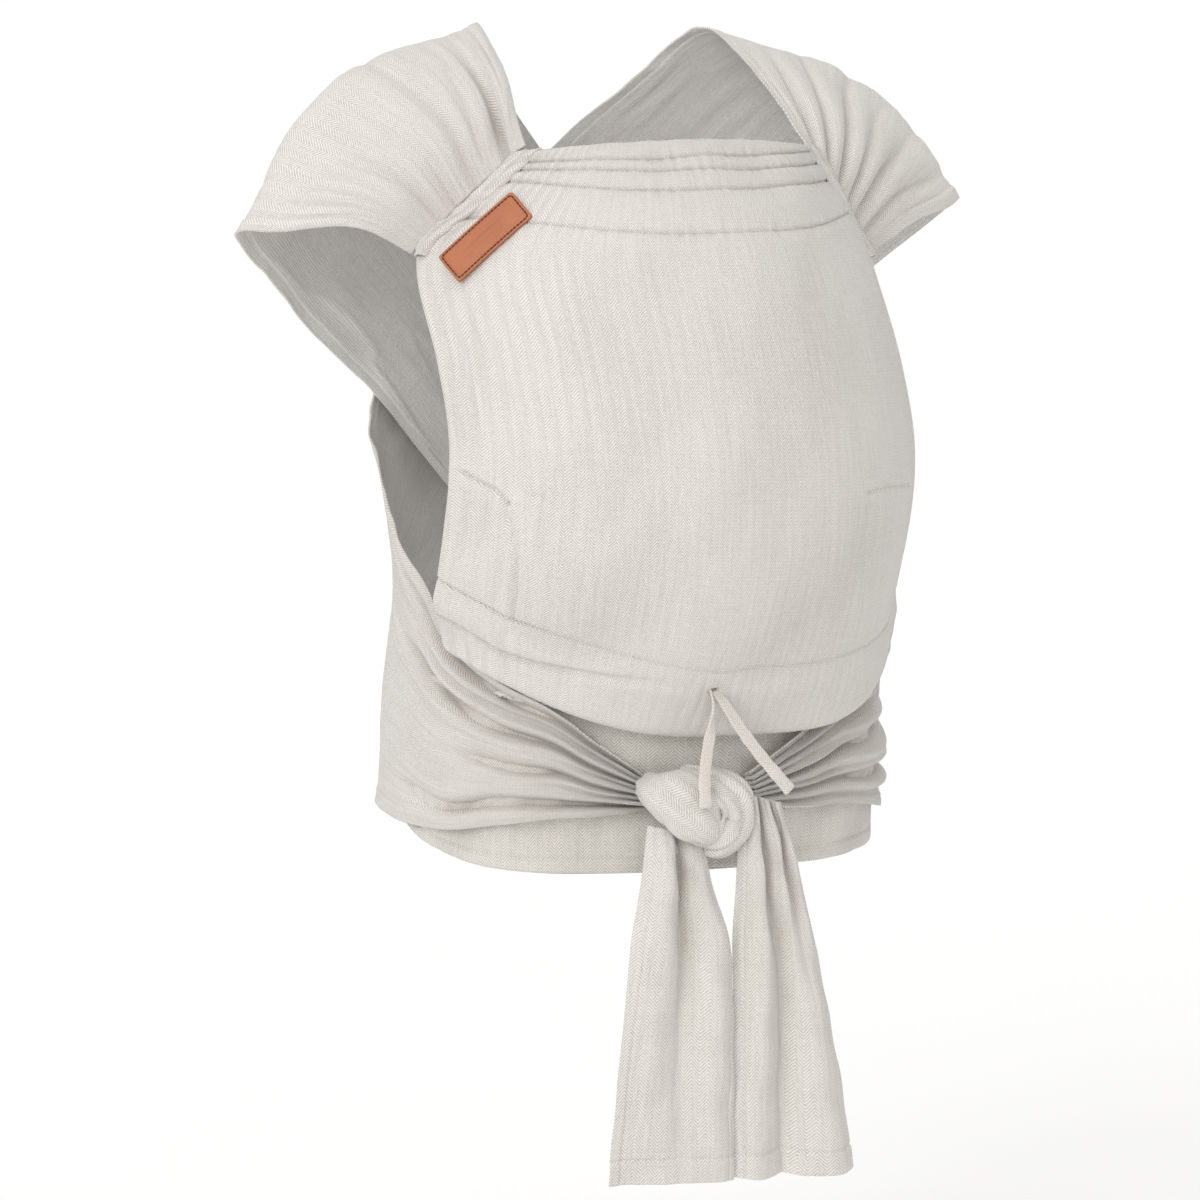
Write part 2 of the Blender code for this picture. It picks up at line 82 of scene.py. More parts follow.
# ---------------------------------------------------------------- the CAD model's own rows
CLOTH = 0.0013                  # thickness of the woven cloth
PANEL_DEPTH = 0.0075            # outer face to lining
STRAP_OUT = 0.0115
BAND_OUT = 0.0072
CROSSING_LIFT = 0.0060
SHOULDER_TILT = 0.035
WAIST_HALF_WIDTH = 0.147
TORSO_SQUARENESS = 2.4
TORSO = (
    (-0.030, 0.143, 0.102, 0.100),
    (0.040, WAIST_HALF_WIDTH, 0.104, 0.104),
    (0.110, 0.142, 0.100, 0.100),
    (0.180, 0.134, 0.100, 0.095),
    (0.250, 0.142, 0.104, 0.095),
    (0.320, 0.152, 0.109, 0.095),
    (0.390, 0.160, 0.112, 0.095),
    (0.460, 0.160, 0.112, 0.095),
)
PANEL_ROWS = (
    ((-0.097, -0.058, 0.4450), (0.0, -0.095, 0.452), (0.097, -0.058, 0.4420)),
    ((-0.127, -0.041, 0.4110), (0.0, -0.128, 0.420), (0.127, -0.041, 0.4050)),
    ((-0.156, -0.021, 0.3780), (0.0, -0.156, 0.378), (0.156, -0.021, 0.3670)),
    ((-0.160, -0.058, 0.3170), (0.0, -0.187, 0.318), (0.160, -0.058, 0.3060)),
    ((-0.160, -0.077, 0.2630), (0.0, -0.204, 0.255), (0.160, -0.077, 0.2490)),
    ((-0.160, -0.067, 0.2110), (0.0, -0.200, 0.195), (0.160, -0.067, 0.1960)),
    ((-0.157, -0.052, 0.1700), (0.0, -0.172, 0.138), (0.156, -0.052, 0.1540)),
    ((-0.152, -0.056, 0.1440), (0.0, -0.132, 0.090), (0.148, -0.060, 0.1310)),
)
PANEL_FULLNESS = (2.1, 3.0)
SEAM_ROW = 2 / 7
SHOULDER_ROWS = (
    ((0.0985, -0.0565, 0.4450), (0.1135, -0.048, 0.4290), (0.1285, -0.0395, 0.4120),
     (0.1435, -0.030, 0.3935), (0.1575, -0.0195, 0.3740)),
    ((0.088, -0.010, 0.479), (0.116, -0.022, 0.466), (0.143, -0.025, 0.447),
     (0.168, -0.019, 0.421), (0.190, -0.010, 0.392)),
    ((0.083, 0.024, 0.500), (0.120, 0.016, 0.491), (0.158, 0.012, 0.471),
     (0.193, 0.010, 0.438), (0.227, 0.012, 0.395)),
    ((0.0765, 0.060, 0.512), (0.125, 0.052, 0.499), (0.172, 0.048, 0.483),
     (0.212, 0.045, 0.450), (0.247, 0.044, 0.395)),
    ((0.060, 0.088, 0.492), (0.108, 0.086, 0.480), (0.155, 0.082, 0.457),
     (0.193, 0.076, 0.419), (0.225, 0.065, 0.368)),
    ((0.032, 0.108, 0.460), (0.080, 0.108, 0.442), (0.124, 0.104, 0.414),
     (0.161, 0.096, 0.374), (0.189, 0.083, 0.330)),
    ((0.000, 0.1225, 0.426), (0.046, 0.1215, 0.401), (0.088, 0.116, 0.371),
     (0.124, 0.105, 0.336), (0.153, 0.093, 0.299)),
    ((-0.036, 0.1235, 0.388), (0.008, 0.124, 0.360), (0.048, 0.121, 0.328),
     (0.087, 0.108, 0.296), (0.120, 0.093, 0.266)),
)
WRAP_ROWS = (
    ((21, 0.345), (-21, 0.205)),
    ((38, 0.302), (-1, 0.140)),
    ((54, 0.267), (16, 0.085)),
    ((68, 0.238), (40, 0.048)),
    ((82, 0.204), (66, 0.034)),
    ((98, 0.172), (90, 0.028)),
    ((113, 0.142), (110, 0.026)),
    ((130, 0.119), (130, 0.031)),
    ((146, 0.103), (147, 0.036)),
    ((158, 0.083), (158, 0.037)),
    ((171, 0.060), (171, 0.040)),
)
CROSSING_SHARE = (0, 0, 0, 0, 0.1, 0.5, 0.9, 1.4, 2.1, 2.5, 2.0, 0.7, 0.2, 0, 0, 0, 0, 0, 0)
KNOT_X = -0.008
TAIL_PIVOT = (-0.143, 0.006)    # y and z of the hinge that both tails swing on


# ---------------------------------------------------------------- curves and grids
def spline_weights(count, where):
    """Weights of count evenly spaced points in a smooth curve, one row for each place 0 to 1."""
    where = np.atleast_1d(np.asarray(where, float))
    spans = count - 1
    first = np.minimum((where * spans).astype(int), spans - 1)
    f = where * spans - first
    shares = (-0.5 * f + f ** 2 - 0.5 * f ** 3, 1 - 2.5 * f ** 2 + 1.5 * f ** 3,
              0.5 * f + 2 * f ** 2 - 1.5 * f ** 3, -0.5 * f ** 2 + 0.5 * f ** 3)
    made = np.zeros((len(where), count))
    rows = np.arange(len(where))
    for step, share in zip((-1, 0, 1, 2), shares):
        at = first + step
        low, high = at < 0, at > spans
        made[rows, np.clip(at, 0, spans)] += np.where(low | high, 2 * share, share)
        made[rows[low], 1] -= share[low]
        made[rows[high], spans - 1] -= share[high]
    return made


def curve(points, where):
    return spline_weights(len(points), where) @ np.asarray(points, float)


def loft(rows, us, vs):
    """Grid of points, v down the first axis and u along the second, through rows of points."""
    rows = np.asarray(rows, float)
    down, across = spline_weights(len(rows), vs), spline_weights(rows.shape[1], us)
    return np.einsum("vr,rcx,uc->vux", down, rows, across)


def marks(*spans):
    """Sorted places made of even spans, each (first, last, count)."""
    return np.unique(np.concatenate([np.linspace(*span) for span in spans]).round(6))


def mix(first, last, share):
    return first + (last - first) * share


def length_of(vectors):
    return np.linalg.norm(vectors, axis=-1, keepdims=True)


def unit(vectors):
    return vectors / length_of(vectors)


def square_to(along, vectors):
    """Unit vectors, turned the least that makes them square to along."""
    return unit(vectors - along * (vectors * along).sum(-1, keepdims=True))


def run_of(points):
    """How far along its line each point lies."""
    return np.concatenate([[0], np.linalg.norm(np.diff(points, axis=0), axis=1).cumsum()])


def grid_normals(points, towards):
    """Unit normals of a grid, turned to the side that most of them share with towards."""
    made = np.cross(np.gradient(points, axis=1), np.gradient(points, axis=0))
    made /= np.maximum(length_of(made), 1e-12)
    return made if (made * towards).sum() > 0 else -made


def margin(x):
    """Distance to the nearer of 0 and 1."""
    return np.minimum(x, 1 - x)


def smooth(low, high, x):
    t = np.clip((x - low) / (high - low), 0, 1)
    return t * t * (3 - 2 * t)


def dent(distance, width):
    return np.exp(-(distance / width) ** 2)


def ripple(x, y, size, seed, waves=9):
    """Smooth random field of about unit height and the given wavelength."""
    rng = np.random.default_rng(seed)
    total = np.zeros(np.broadcast(x, y).shape)
    for _ in range(waves):
        turn, phase, stretch = rng.uniform(0, 2 * pi), rng.uniform(0, 2 * pi), rng.uniform(0.7, 1.5)
        total += np.sin(2 * pi * (x * cos(turn) + y * sin(turn)) / (size * stretch) + phase)
    return total / waves ** 0.5


def ridges(x):
    """Rounded ridges with sharp valleys at whole numbers, from 0 to 1."""
    return np.abs(np.sin(pi * x)) ** 0.6


def pleats(u, v, count, wander, size, seed):
    return ridges(u * count + wander * ripple(u, v, size, seed)) - 0.6


class Grid:
    """A surface sampled on u and v, with outward normals."""

    def __init__(self, us, vs, points, towards):
        self.us, self.vs, self.points = us, vs, points
        self.normals = grid_normals(points, towards)
        self.base = points
        self.crease = np.zeros(points.shape[:2])

    def raise_by(self, height):
        """Moves the surface along its normals; hollows are remembered as creases, painted as shade.
        """
        self.points = self.points + self.normals * height[..., None]
        self.crease = self.crease + height
        self.normals = grid_normals(self.points, self.normals)

    def at(self, u, v):
        """Points and normals at scattered places."""
        u, v = np.asarray(u, float), np.asarray(v, float)
        i = np.clip(np.searchsorted(self.us, u) - 1, 0, len(self.us) - 2)
        j = np.clip(np.searchsorted(self.vs, v) - 1, 0, len(self.vs) - 2)
        a = ((u - self.us[i]) / (self.us[i + 1] - self.us[i]))[..., None]
        b = ((v - self.vs[j]) / (self.vs[j + 1] - self.vs[j]))[..., None]
        found = []
        for field in (self.points, self.normals):
            top = field[j, i] * (1 - a) + field[j, i + 1] * a
            low = field[j + 1, i] * (1 - a) + field[j + 1, i + 1] * a
            found.append(top * (1 - b) + low * b)
        return found[0], unit(found[1])


# ---------------------------------------------------------------- surfaces
def torso(turn, z, out):
    """Points on the torso, turn in degrees from the middle of the back towards +X."""
    turn, z = np.broadcast_arrays(np.asarray(turn, float), np.asarray(z, float))
    table = np.array(TORSO)
    share = np.clip((z - table[0, 0]) / (table[-1, 0] - table[0, 0]), 0, 1)
    sizes = (spline_weights(len(table), share.ravel()) @ table[:, 1:]).reshape(*z.shape, 3) + \
        np.broadcast_to(out, z.shape)[..., None]
    s, c = np.sin(np.radians(turn)), np.cos(np.radians(turn))
    power = 2 / TORSO_SQUARENESS
    x = sizes[..., 0] * np.sign(s) * np.abs(s) ** power
    y = np.where(c >= 0, sizes[..., 1], -sizes[..., 2]) * np.abs(c) ** power
    return np.stack([x, y, z], -1)


def panel(us, vs):
    left, middle, right = (curve([row[k] for row in PANEL_ROWS], vs)[:, None] for k in range(3))
    across = np.asarray(us)[None, :, None]
    down = np.asarray(vs)[:, None, None]
    power = mix(*PANEL_FULLNESS, down ** 3)
    bulge = 1 - np.abs(2 * across - 1) ** power
    return left * (1 - across) + right * across + (middle - 0.5 * (left + right)) * bulge


def strap_rows(side):
    lifts = [CROSSING_LIFT * share if side > 0 else 0.0 for share in CROSSING_SHARE]
    rows = []
    for row, lift in zip(SHOULDER_ROWS, lifts):
        rows.append([(side * x, y + lift, z - SHOULDER_TILT * side * x) for x, y, z in row])
    knot_shift = degrees(KNOT_X / WAIST_HALF_WIDTH)
    steps = np.linspace(0, 1, 5)
    for index, (upper, lower) in enumerate(WRAP_ROWS):
        near_knot = max(0.0, (index - 7) / (len(WRAP_ROWS) - 8))
        out = STRAP_OUT + lifts[len(SHOULDER_ROWS) + index] + 0.004 * near_knot
        turns = mix(upper[0], lower[0], steps)
        heights = mix(upper[1], lower[1], steps)
        rows.append(torso(-side * turns - knot_shift * near_knot, heights, out))
    return np.array(rows)


# ---------------------------------------------------------------- meshes
def mesh_object(name, verts, faces, materials, face_slots=None, uv=None, crease=None):
    mesh = bpy.data.meshes.new(name)
    mesh.from_pydata(np.asarray(verts).tolist(), [], faces)
    for material in materials:
        mesh.materials.append(material)
    if face_slots is not None:
        mesh.polygons.foreach_set("material_index", face_slots)
    if uv is not None:
        layer = mesh.uv_layers.new(name="cloth")
        corners = np.empty(len(mesh.loops), np.int32)
        mesh.loops.foreach_get("vertex_index", corners)
        layer.data.foreach_set("uv", np.asarray(uv, np.float32)[corners].ravel())
    if crease is not None:
        field = mesh.attributes.new("crease", "FLOAT", "POINT")
        field.data.foreach_set("value", np.asarray(crease, np.float32))
    mesh.shade_smooth()
    made = bpy.data.objects.new(name, mesh)
    bpy.context.scene.collection.objects.link(made)
    return made


def sheet_object(name, grid, materials, uv_turn=0.0):
    """Closed sheet: the grid is its outward face, the second material is for its reverse."""
    rows, columns = grid.points.shape[:2]
    outer = grid.points.reshape(-1, 3)
    inner = (grid.points - grid.normals * CLOTH).reshape(-1, 3)
    index = np.arange(rows * columns).reshape(rows, columns)
    quads = np.stack([index[:-1, :-1], index[:-1, 1:], index[1:, 1:], index[1:, :-1]], -1)
    quads = quads.reshape(-1, 4)
    turned = np.cross(np.gradient(grid.points, axis=1), np.gradient(grid.points, axis=0))
    inwards = (turned * grid.normals).sum() < 0
    if inwards:
        quads = quads[:, ::-1]
    back = quads[:, ::-1] + rows * columns
    ring = np.concatenate([index[0, :-1], index[:-1, -1], index[-1, :0:-1], index[:0:-1, 0]])
    following = np.roll(ring, -1)
    rim = np.stack([ring, following, following + rows * columns, ring + rows * columns], -1)
    if not inwards:
        rim = rim[:, ::-1]
    faces = np.concatenate([quads, back, rim]).tolist()
    slots = [0] * len(quads) + [1] * len(back) + [0] * len(rim)
    width = run_of(grid.base[rows // 2])[-1]
    across, down = np.meshgrid(grid.us * width, run_of(grid.base[:, columns // 2]))
    turned_u = across * cos(uv_turn) - down * sin(uv_turn)
    turned_v = across * sin(uv_turn) + down * cos(uv_turn)
    uv = np.stack([turned_u, turned_v], -1).reshape(-1, 2)
    crease = np.tile(grid.crease.ravel(), 2)
    return mesh_object(name, np.concatenate([outer, inner]), faces, materials, slots,
                       np.concatenate([uv, uv]), crease)


def place(made, slot, *covers, body="carrier"):
    """Attaches a finished piece to its body and hides the CAD nodes that it stands for. slot is not
    used.
    """
    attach(made, body)
    if covers:
        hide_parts(*covers)
    return made


def tube_faces(rings, sides):
    """Faces of a tube of stacked rings, closed at both ends."""
    index = np.arange(rings * sides).reshape(rings, sides)
    following = np.roll(index, -1, axis=1)
    quads = np.stack([index[:-1], following[:-1], following[1:], index[1:]], -1).reshape(-1, 4)
    return quads.tolist() + [index[0, ::-1].tolist(), index[-1].tolist()]


STITCH_PITCH = 0.0030
STITCH_LENGTH = 0.0024
STITCH_RADIUS = 0.00026


def stitches_object(name, lines, material, radius=STITCH_RADIUS, pitch=STITCH_PITCH,
                    length=STITCH_LENGTH, sunk=0.0):
    """Rows of thread stitches along lines, each line (points, normals)."""
    centres, alongs, ups = [], [], []
    for points, normals in lines:
        run = run_of(points)
        where = np.arange(pitch / 2, run[-1], pitch)
        ends = [np.stack([np.interp(where + shift, run, points[:, k]) for k in range(3)], -1)
                for shift in (-pitch / 4, pitch / 4)]
        along = ends[1] - ends[0]
        alongs.append(unit(along))
        centres.append((ends[0] + ends[1]) / 2)
        ups.append(np.stack([np.interp(where, run, normals[:, k]) for k in range(3)], -1))
    centres, alongs, ups = (np.concatenate(group) for group in (centres, alongs, ups))
    ups = square_to(alongs, ups)
    sides = np.cross(alongs, ups)
    profile = ((-0.5, 0.35, -0.9), (-0.36, 0.9, 0.0), (0.0, 1.0, 0.5), (0.36, 0.9, 0.0),
               (0.5, 0.35, -0.9))
    count = 6
    rings = []
    for step, size, lift in profile:
        for k in range(count):
            turn = 2 * pi * k / count
            rings.append(centres + alongs * step * length
                         + ups * (radius * (size * cos(turn) + lift * 0.6) - sunk)
                         + sides * radius * size * sin(turn))
    verts = np.stack(rings, 1).reshape(-1, 3)
    pattern = tube_faces(len(profile), count)
    faces = [[first + corner for corner in face]
             for first in range(0, len(verts), len(rings)) for face in pattern]
    return mesh_object(name, verts, faces, [material])


# ---------------------------------------------------------------- materials
class Nodes:
    """Short names for building a material's nodes."""

    def __init__(self, name):
        self.material = bpy.data.materials.new(name)
        self.material.use_nodes = True
        self.tree = self.material.node_tree
        self.shader = self.tree.nodes["Principled BSDF"]

    def put(self, socket, value):
        if isinstance(value, bpy.types.NodeSocket):
            self.tree.links.new(value, socket)
        else:
            socket.default_value = value

    def math(self, kind, *values):
        node = self.tree.nodes.new("ShaderNodeMath")
        node.operation = kind
        for socket, value in zip(node.inputs, values):
            self.put(socket, value)
        return node.outputs[0]

    def add(self, first, second):
        return self.math("ADD", first, second)

    def minus(self, first, second):
        return self.math("SUBTRACT", first, second)

    def times(self, first, second):
        return self.math("MULTIPLY", first, second)

    def limited(self, value, top):
        return self.math("MINIMUM", self.math("MAXIMUM", value, 0.0), top)

    def noise(self, vector, scale, detail=2.0, roughness=0.5):
        node = self.tree.nodes.new("ShaderNodeTexNoise")
        for key, value in (("Vector", vector), ("Scale", scale), ("Detail", detail),
                           ("Roughness", roughness)):
            self.put(node.inputs[key], value)
        return node.outputs["Fac"]

    def grain(self, vector, scale, *texture):
        """Noise stretched by a scale for each axis."""
        node = self.tree.nodes.new("ShaderNodeMapping")
        self.put(node.inputs["Vector"], vector)
        node.inputs["Scale"].default_value = scale
        return self.noise(node.outputs["Vector"], 1.0, *texture)

    def blend(self, share, first, second):
        node = self.tree.nodes.new("ShaderNodeMix")
        node.data_type = "RGBA"
        self.put(node.inputs["Factor"], share)
        self.put(node.inputs["A"], first if not isinstance(first, tuple) else (*first, 1.0))
        self.put(node.inputs["B"], second if not isinstance(second, tuple) else (*second, 1.0))
        return node.outputs["Result"]

    def cloth_uv(self):
        node = self.tree.nodes.new("ShaderNodeUVMap")
        node.uv_map = "cloth"
        return node.outputs["UV"]

    def local(self):
        return self.tree.nodes.new("ShaderNodeTexCoord").outputs["Object"]

    def parts(self, vector):
        node = self.tree.nodes.new("ShaderNodeSeparateXYZ")
        self.put(node.inputs[0], vector)
        return node.outputs[0], node.outputs[1]

    def attribute(self, name):
        node = self.tree.nodes.new("ShaderNodeAttribute")
        node.attribute_name = name
        return node.outputs["Fac"]

    def bump(self, height, distance, strength):
        node = self.tree.nodes.new("ShaderNodeBump")
        node.inputs["Distance"].default_value = distance
        node.inputs["Strength"].default_value = strength
        self.put(node.inputs["Height"], height)
        self.put(self.shader.inputs["Normal"], node.outputs["Normal"])

    def surface(self, colour, roughness, sheen=0.0):
        self.put(self.shader.inputs["Base Color"], colour)
        self.put(self.shader.inputs["Roughness"], roughness)
        self.shader.inputs["Specular IOR Level"].default_value = 0.25
        self.shader.inputs["Sheen Weight"].default_value = sheen
        self.shader.inputs["Sheen Roughness"].default_value = 0.6


TWILL_PITCH = 0.0021
TWILL_SLOPE = 1.15
COLUMN_WIDTH = 0.0046
WEFT_PITCH, WARP_PITCH = 0.0014, 0.0018     # of the reverse
WOBBLE = 0.0022                             # how far threads wander sideways
CREASE_SHADE, DEEPEST_SHADE = 85.0, 0.35    # painted shade in fold hollows: darkening per metre of hollow, and its most


def woven(name, light, dark, herringbone=True, contrast=0.55, slub=0.5):
    """Cotton cloth: herringbone columns of twill on the face, a fine grid on the reverse."""
    n = Nodes(name)
    uv = n.cloth_uv()
    x, y = n.parts(uv)
    wobble = n.times(n.minus(n.grain(uv, (90, 30, 1)), 0.5), WOBBLE)
    x = n.add(x, wobble)
    if herringbone:
        zigzag = n.times(n.math("PINGPONG", x, COLUMN_WIDTH), TWILL_SLOPE)
        lines = n.math("SINE", n.times(n.add(y, zigzag), 2 * pi / TWILL_PITCH))
        threads = n.times(lines, 0.5)
    else:
        across = n.math("SINE", n.times(n.add(y, wobble), 2 * pi / WEFT_PITCH))
        along = n.math("SINE", n.times(x, 2 * pi / WARP_PITCH))
        threads = n.add(n.times(across, 0.34), n.times(along, 0.16))
    weave = n.add(threads, 0.5)
    fibre = n.grain(uv, (760, 330, 1), 3.0, 0.75)
    slubs = n.grain(uv, (420, 17, 1), 4.0, 0.85)
    picks = n.grain(uv, (30, 620, 1), 2.0, 0.6)
    mottle = n.grain(uv, (26, 26, 1), 3.0, 0.6)
    share = n.times(weave, contrast)
    for field, weight in ((fibre, 1.00), (slubs, 2.0 * slub), (picks, 0.24), (mottle, 0.12)):
        share = n.add(share, n.times(n.minus(field, 0.5), weight))
    # painted shade: the cloth is darker where the crease attribute marks a hollow
    hollow = n.times(n.attribute("crease"), -CREASE_SHADE)
    share = n.minus(share, n.limited(hollow, DEEPEST_SHADE))
    share = n.limited(n.add(share, 0.62 - 0.5 * contrast), 1.0)
    colour = n.blend(share, dark, light)
    height = n.add(n.add(weave, n.times(fibre, 0.6)), n.times(slubs, 0.5))
    n.bump(height, 0.0004, 0.8)
    n.surface(colour, n.add(0.82, n.times(fibre, 0.16)), 0.18)
    return n.material


def leather(name, light, dark):
    n = Nodes(name)
    spot = n.local()
    grain = n.grain(spot, (900, 900, 900), 4.0, 0.65)
    pores = n.grain(spot, (2400, 2400, 2400), 2.0)
    stain = n.grain(spot, (60, 60, 60), 3.0)
    rim = n.attribute("crease")
    share = n.add(n.times(grain, 0.6), n.times(stain, 0.5))
    share = n.limited(n.minus(share, rim), 1.0)
    n.bump(n.add(grain, n.times(pores, 0.4)), 0.00025, 0.5)
    n.surface(n.blend(share, dark, light), n.add(0.42, n.times(grain, 0.2)))
    n.shader.inputs["Specular IOR Level"].default_value = 0.4
    return n.material


def thread(name, light, dark):
    n = Nodes(name)
    spot = n.local()
    twist = n.grain(spot, (2600, 2600, 2600), 2.0)
    n.bump(twist, 0.0002, 0.5)
    n.surface(n.blend(twist, dark, light), n.add(0.6, n.times(twist, 0.3)), 0.1)
    return n.material


CREAM = (0.79, 0.765, 0.725)
SAND = (0.50, 0.475, 0.43)
GREY = (0.80, 0.775, 0.745)
GREY_DARK = (0.50, 0.485, 0.46)
FACE = woven("panel_cloth_face", CREAM, SAND, contrast=0.85)
STRAP_FACE = woven("strap_cloth_face", CREAM, (0.49, 0.46, 0.415), contrast=0.85)
REVERSE = woven("cloth_reverse", GREY, GREY_DARK, herringbone=False)
BAND_FACE = woven("band_cloth_face", (0.80, 0.77, 0.72), (0.49, 0.46, 0.41), contrast=0.9)
TAPE = woven("tape_cloth", (0.80, 0.765, 0.71), (0.52, 0.48, 0.43), contrast=0.6, slub=0.3)
LEATHER = leather("label_leather", (0.52, 0.19, 0.085), (0.30, 0.09, 0.042))
DARK_THREAD = thread("label_thread", (0.12, 0.022, 0.010), (0.045, 0.008, 0.004))
PALE_THREAD = thread("seam_thread", (0.82, 0.79, 0.74), (0.60, 0.56, 0.50))


# ---------------------------------------------------------------- panel
PANEL_WIDTH = 0.43
PANEL_LENGTH = 0.416
PANEL_HEM = 0.0078              # from a side edge to the seam of its hem
NECK_PUFFS = (0.0016, 0.0013, 0.0017, 0.0018)
SLIT_AT = (0.447, 0.920)
# v of each seam across the neck end, at five even u.
NECK_SEAMS = ((0.033, 0.050, 0.048, 0.041, 0.014), (0.052, 0.078, 0.083, 0.076, 0.044),
              (0.080, 0.125, 0.133, 0.120, 0.087), (0.178, 0.222, 0.228, 0.214, 0.172))
# (u, v) lines sewn or creased into the panel.
CHANNEL_TOP = ((0.0, 0.806), (0.045, 0.831), (0.09, 0.853), (0.16, 0.863), (0.30, 0.874),
               (0.45, 0.886), (0.60, 0.875), (0.80, 0.862), (0.92, 0.845), (1.0, 0.812))
LOWER_FOLD = ((0.0, 0.899), (0.028, 0.912), (0.070, 0.940), (0.125, 0.934), (0.20, 0.920),
              (0.30, 0.910), (0.40, 0.912))
CORNER_TUCK = ((0.084, 0.950), (0.088, 0.982))
SHORT_TUCK = ((0.107, 0.627), (0.117, 0.626))
DART_LEFT = ((0.018, 0.602), (0.033, 0.612), (0.060, 0.625), (0.074, 0.643))
DART_RIGHT = ((0.735, 0.606), (0.80, 0.601), (0.86, 0.604), (0.925, 0.611))
LEG_SEAM_LEFT = ((0.074, 0.643), (0.083, 0.700), (0.090, 0.743), (0.093, 0.790), (0.090, 0.852))
LEG_SEAM_RIGHT = ((0.925, 0.611), (0.912, 0.680), (0.905, 0.740), (0.902, 0.790), (0.905, 0.848))


def distance_to(line, u, v):
    """Distance over the cloth, in metres, from each (u, v) to a line of (u, v) points."""
    best = np.full(np.broadcast(u, v).shape, 1e3)
    for (u0, v0), (u1, v1) in zip(line[:-1], line[1:]):
        ax, ay = (u - u0) * PANEL_WIDTH, (v - v0) * PANEL_LENGTH
        bx, by = (u1 - u0) * PANEL_WIDTH, (v1 - v0) * PANEL_LENGTH
        share = np.clip((ax * bx + ay * by) / (bx * bx + by * by), 0, 1)
        best = np.minimum(best, np.hypot(ax - share * bx, ay - share * by))
    return best


def along_u(line, u):
    line = np.array(line)
    return np.interp(u, line[:, 0], line[:, 1])


def rolled(distance, radius):
    """How far a rolled edge has turned away at a distance from it: a quarter of a circle."""
    x = np.clip(distance, 0, radius)
    return radius - np.sqrt(np.maximum(radius ** 2 - (radius - x) ** 2, 0))


def panel_heights(u, v):
    """Outward height of the panel's face over its plain loft, in metres."""
    from_top = [curve(seam, np.clip(u.ravel(), 0, 1)).reshape(u.shape) for seam in NECK_SEAMS]
    bounds = [np.zeros_like(u)] + from_top
    height = np.zeros_like(u)
    for top, low, puff in zip(bounds[:-1], bounds[1:], NECK_PUFFS):
        share = np.clip((v - top) / (low - top), 0, 1)
        height += puff * np.sin(pi * share) ** 0.7
    height -= 0.0013 * sum(dent((v - seam) * PANEL_LENGTH, 0.0013) for seam in from_top)
    past_neck = v - from_top[-1]
    height += 0.0012 * smooth(0.0, 0.03, past_neck) * smooth(0.05, 0.0, past_neck)
    pucker = ripple(u * PANEL_WIDTH, v * PANEL_LENGTH * 0.35, 0.011, 3)
    near_seam = sum(dent((v - seam) * PANEL_LENGTH, 0.006) for seam in from_top)
    height += 0.00035 * pucker * np.minimum(near_seam, 1)

    channel = along_u(CHANNEL_TOP, u)
    below = (v - channel) * PANEL_LENGTH
    corner = smooth(0.16, 0.10, margin(u))
    height -= (0.0013 + 0.0010 * corner) * dent(below, 0.0016)
    height += 0.0032 * smooth(0.0, 0.024, below)
    height -= 0.0030 * dent(distance_to(LOWER_FOLD, u, v), 0.0032) * smooth(0.42, 0.25, u)
    gathers = ridges(u * PANEL_WIDTH / 0.012 + 0.5 * ripple(u, v, 0.2, 5))
    slit_u = (u - SLIT_AT[0]) * PANEL_WIDTH
    slit_v = (v - SLIT_AT[1]) * PANEL_LENGTH
    from_slit = np.hypot(slit_u, 1.6 * slit_v)
    height += 0.0011 * (gathers - 0.6) * dent(from_slit, 0.055) * smooth(0.0, 0.012, below)
    height -= 0.0022 * dent(from_slit, 0.010)
    height -= 0.0045 * np.exp(-(slit_u / 0.0042) ** 4 - (slit_v / 0.0011) ** 2)
    height -= 0.0011 * dent(distance_to(CORNER_TUCK, u, v), 0.0014)

    for line, depth in ((DART_LEFT, 0.0026), (DART_RIGHT, 0.0013), (LEG_SEAM_LEFT, 0.0024),
                        (LEG_SEAM_RIGHT, 0.0013)):
        away = distance_to(line, u, v)
        height += depth * (0.35 * dent(away, 0.008) - dent(away, 0.0015))
    height -= 0.0009 * dent(distance_to(SHORT_TUCK, u, v), 0.0012)
    height += 0.0006 * smooth(0.012, 0.0, distance_to(LEG_SEAM_LEFT, u, v)) * (u < 0.09)

    edge = margin(u) * PANEL_WIDTH
    hem = smooth(PANEL_HEM + 0.0007, PANEL_HEM - 0.0008, edge) - dent(edge - PANEL_HEM, 0.0007)
    height += 0.0007 * hem * (v > SEAM_ROW)
    soft = ripple(u * PANEL_WIDTH, v * PANEL_LENGTH, 0.11, 7)
    fine = ripple(u * PANEL_WIDTH, v * PANEL_LENGTH * 0.5, 0.030, 11)
    height += 0.0009 * soft * smooth(0.0, 0.05, margin(v)) + 0.00022 * fine
    sag = np.sin(2 * pi * (u * 2.2 + 0.35 * v + 0.1)) * smooth(0.55, 0.85, v)
    height += 0.0012 * sag * smooth(0.0, 0.1, margin(u))
    return height


PANEL_NODES = ("panel_outer", "top_hem", "bottom_hem", "side_hem_left", "side_hem_right",
               "neck_pad_upper", "neck_pad_middle", "neck_pad_lower", "leg_pad_left",
               "leg_pad_right", "drawcord_left", "drawcord_right")


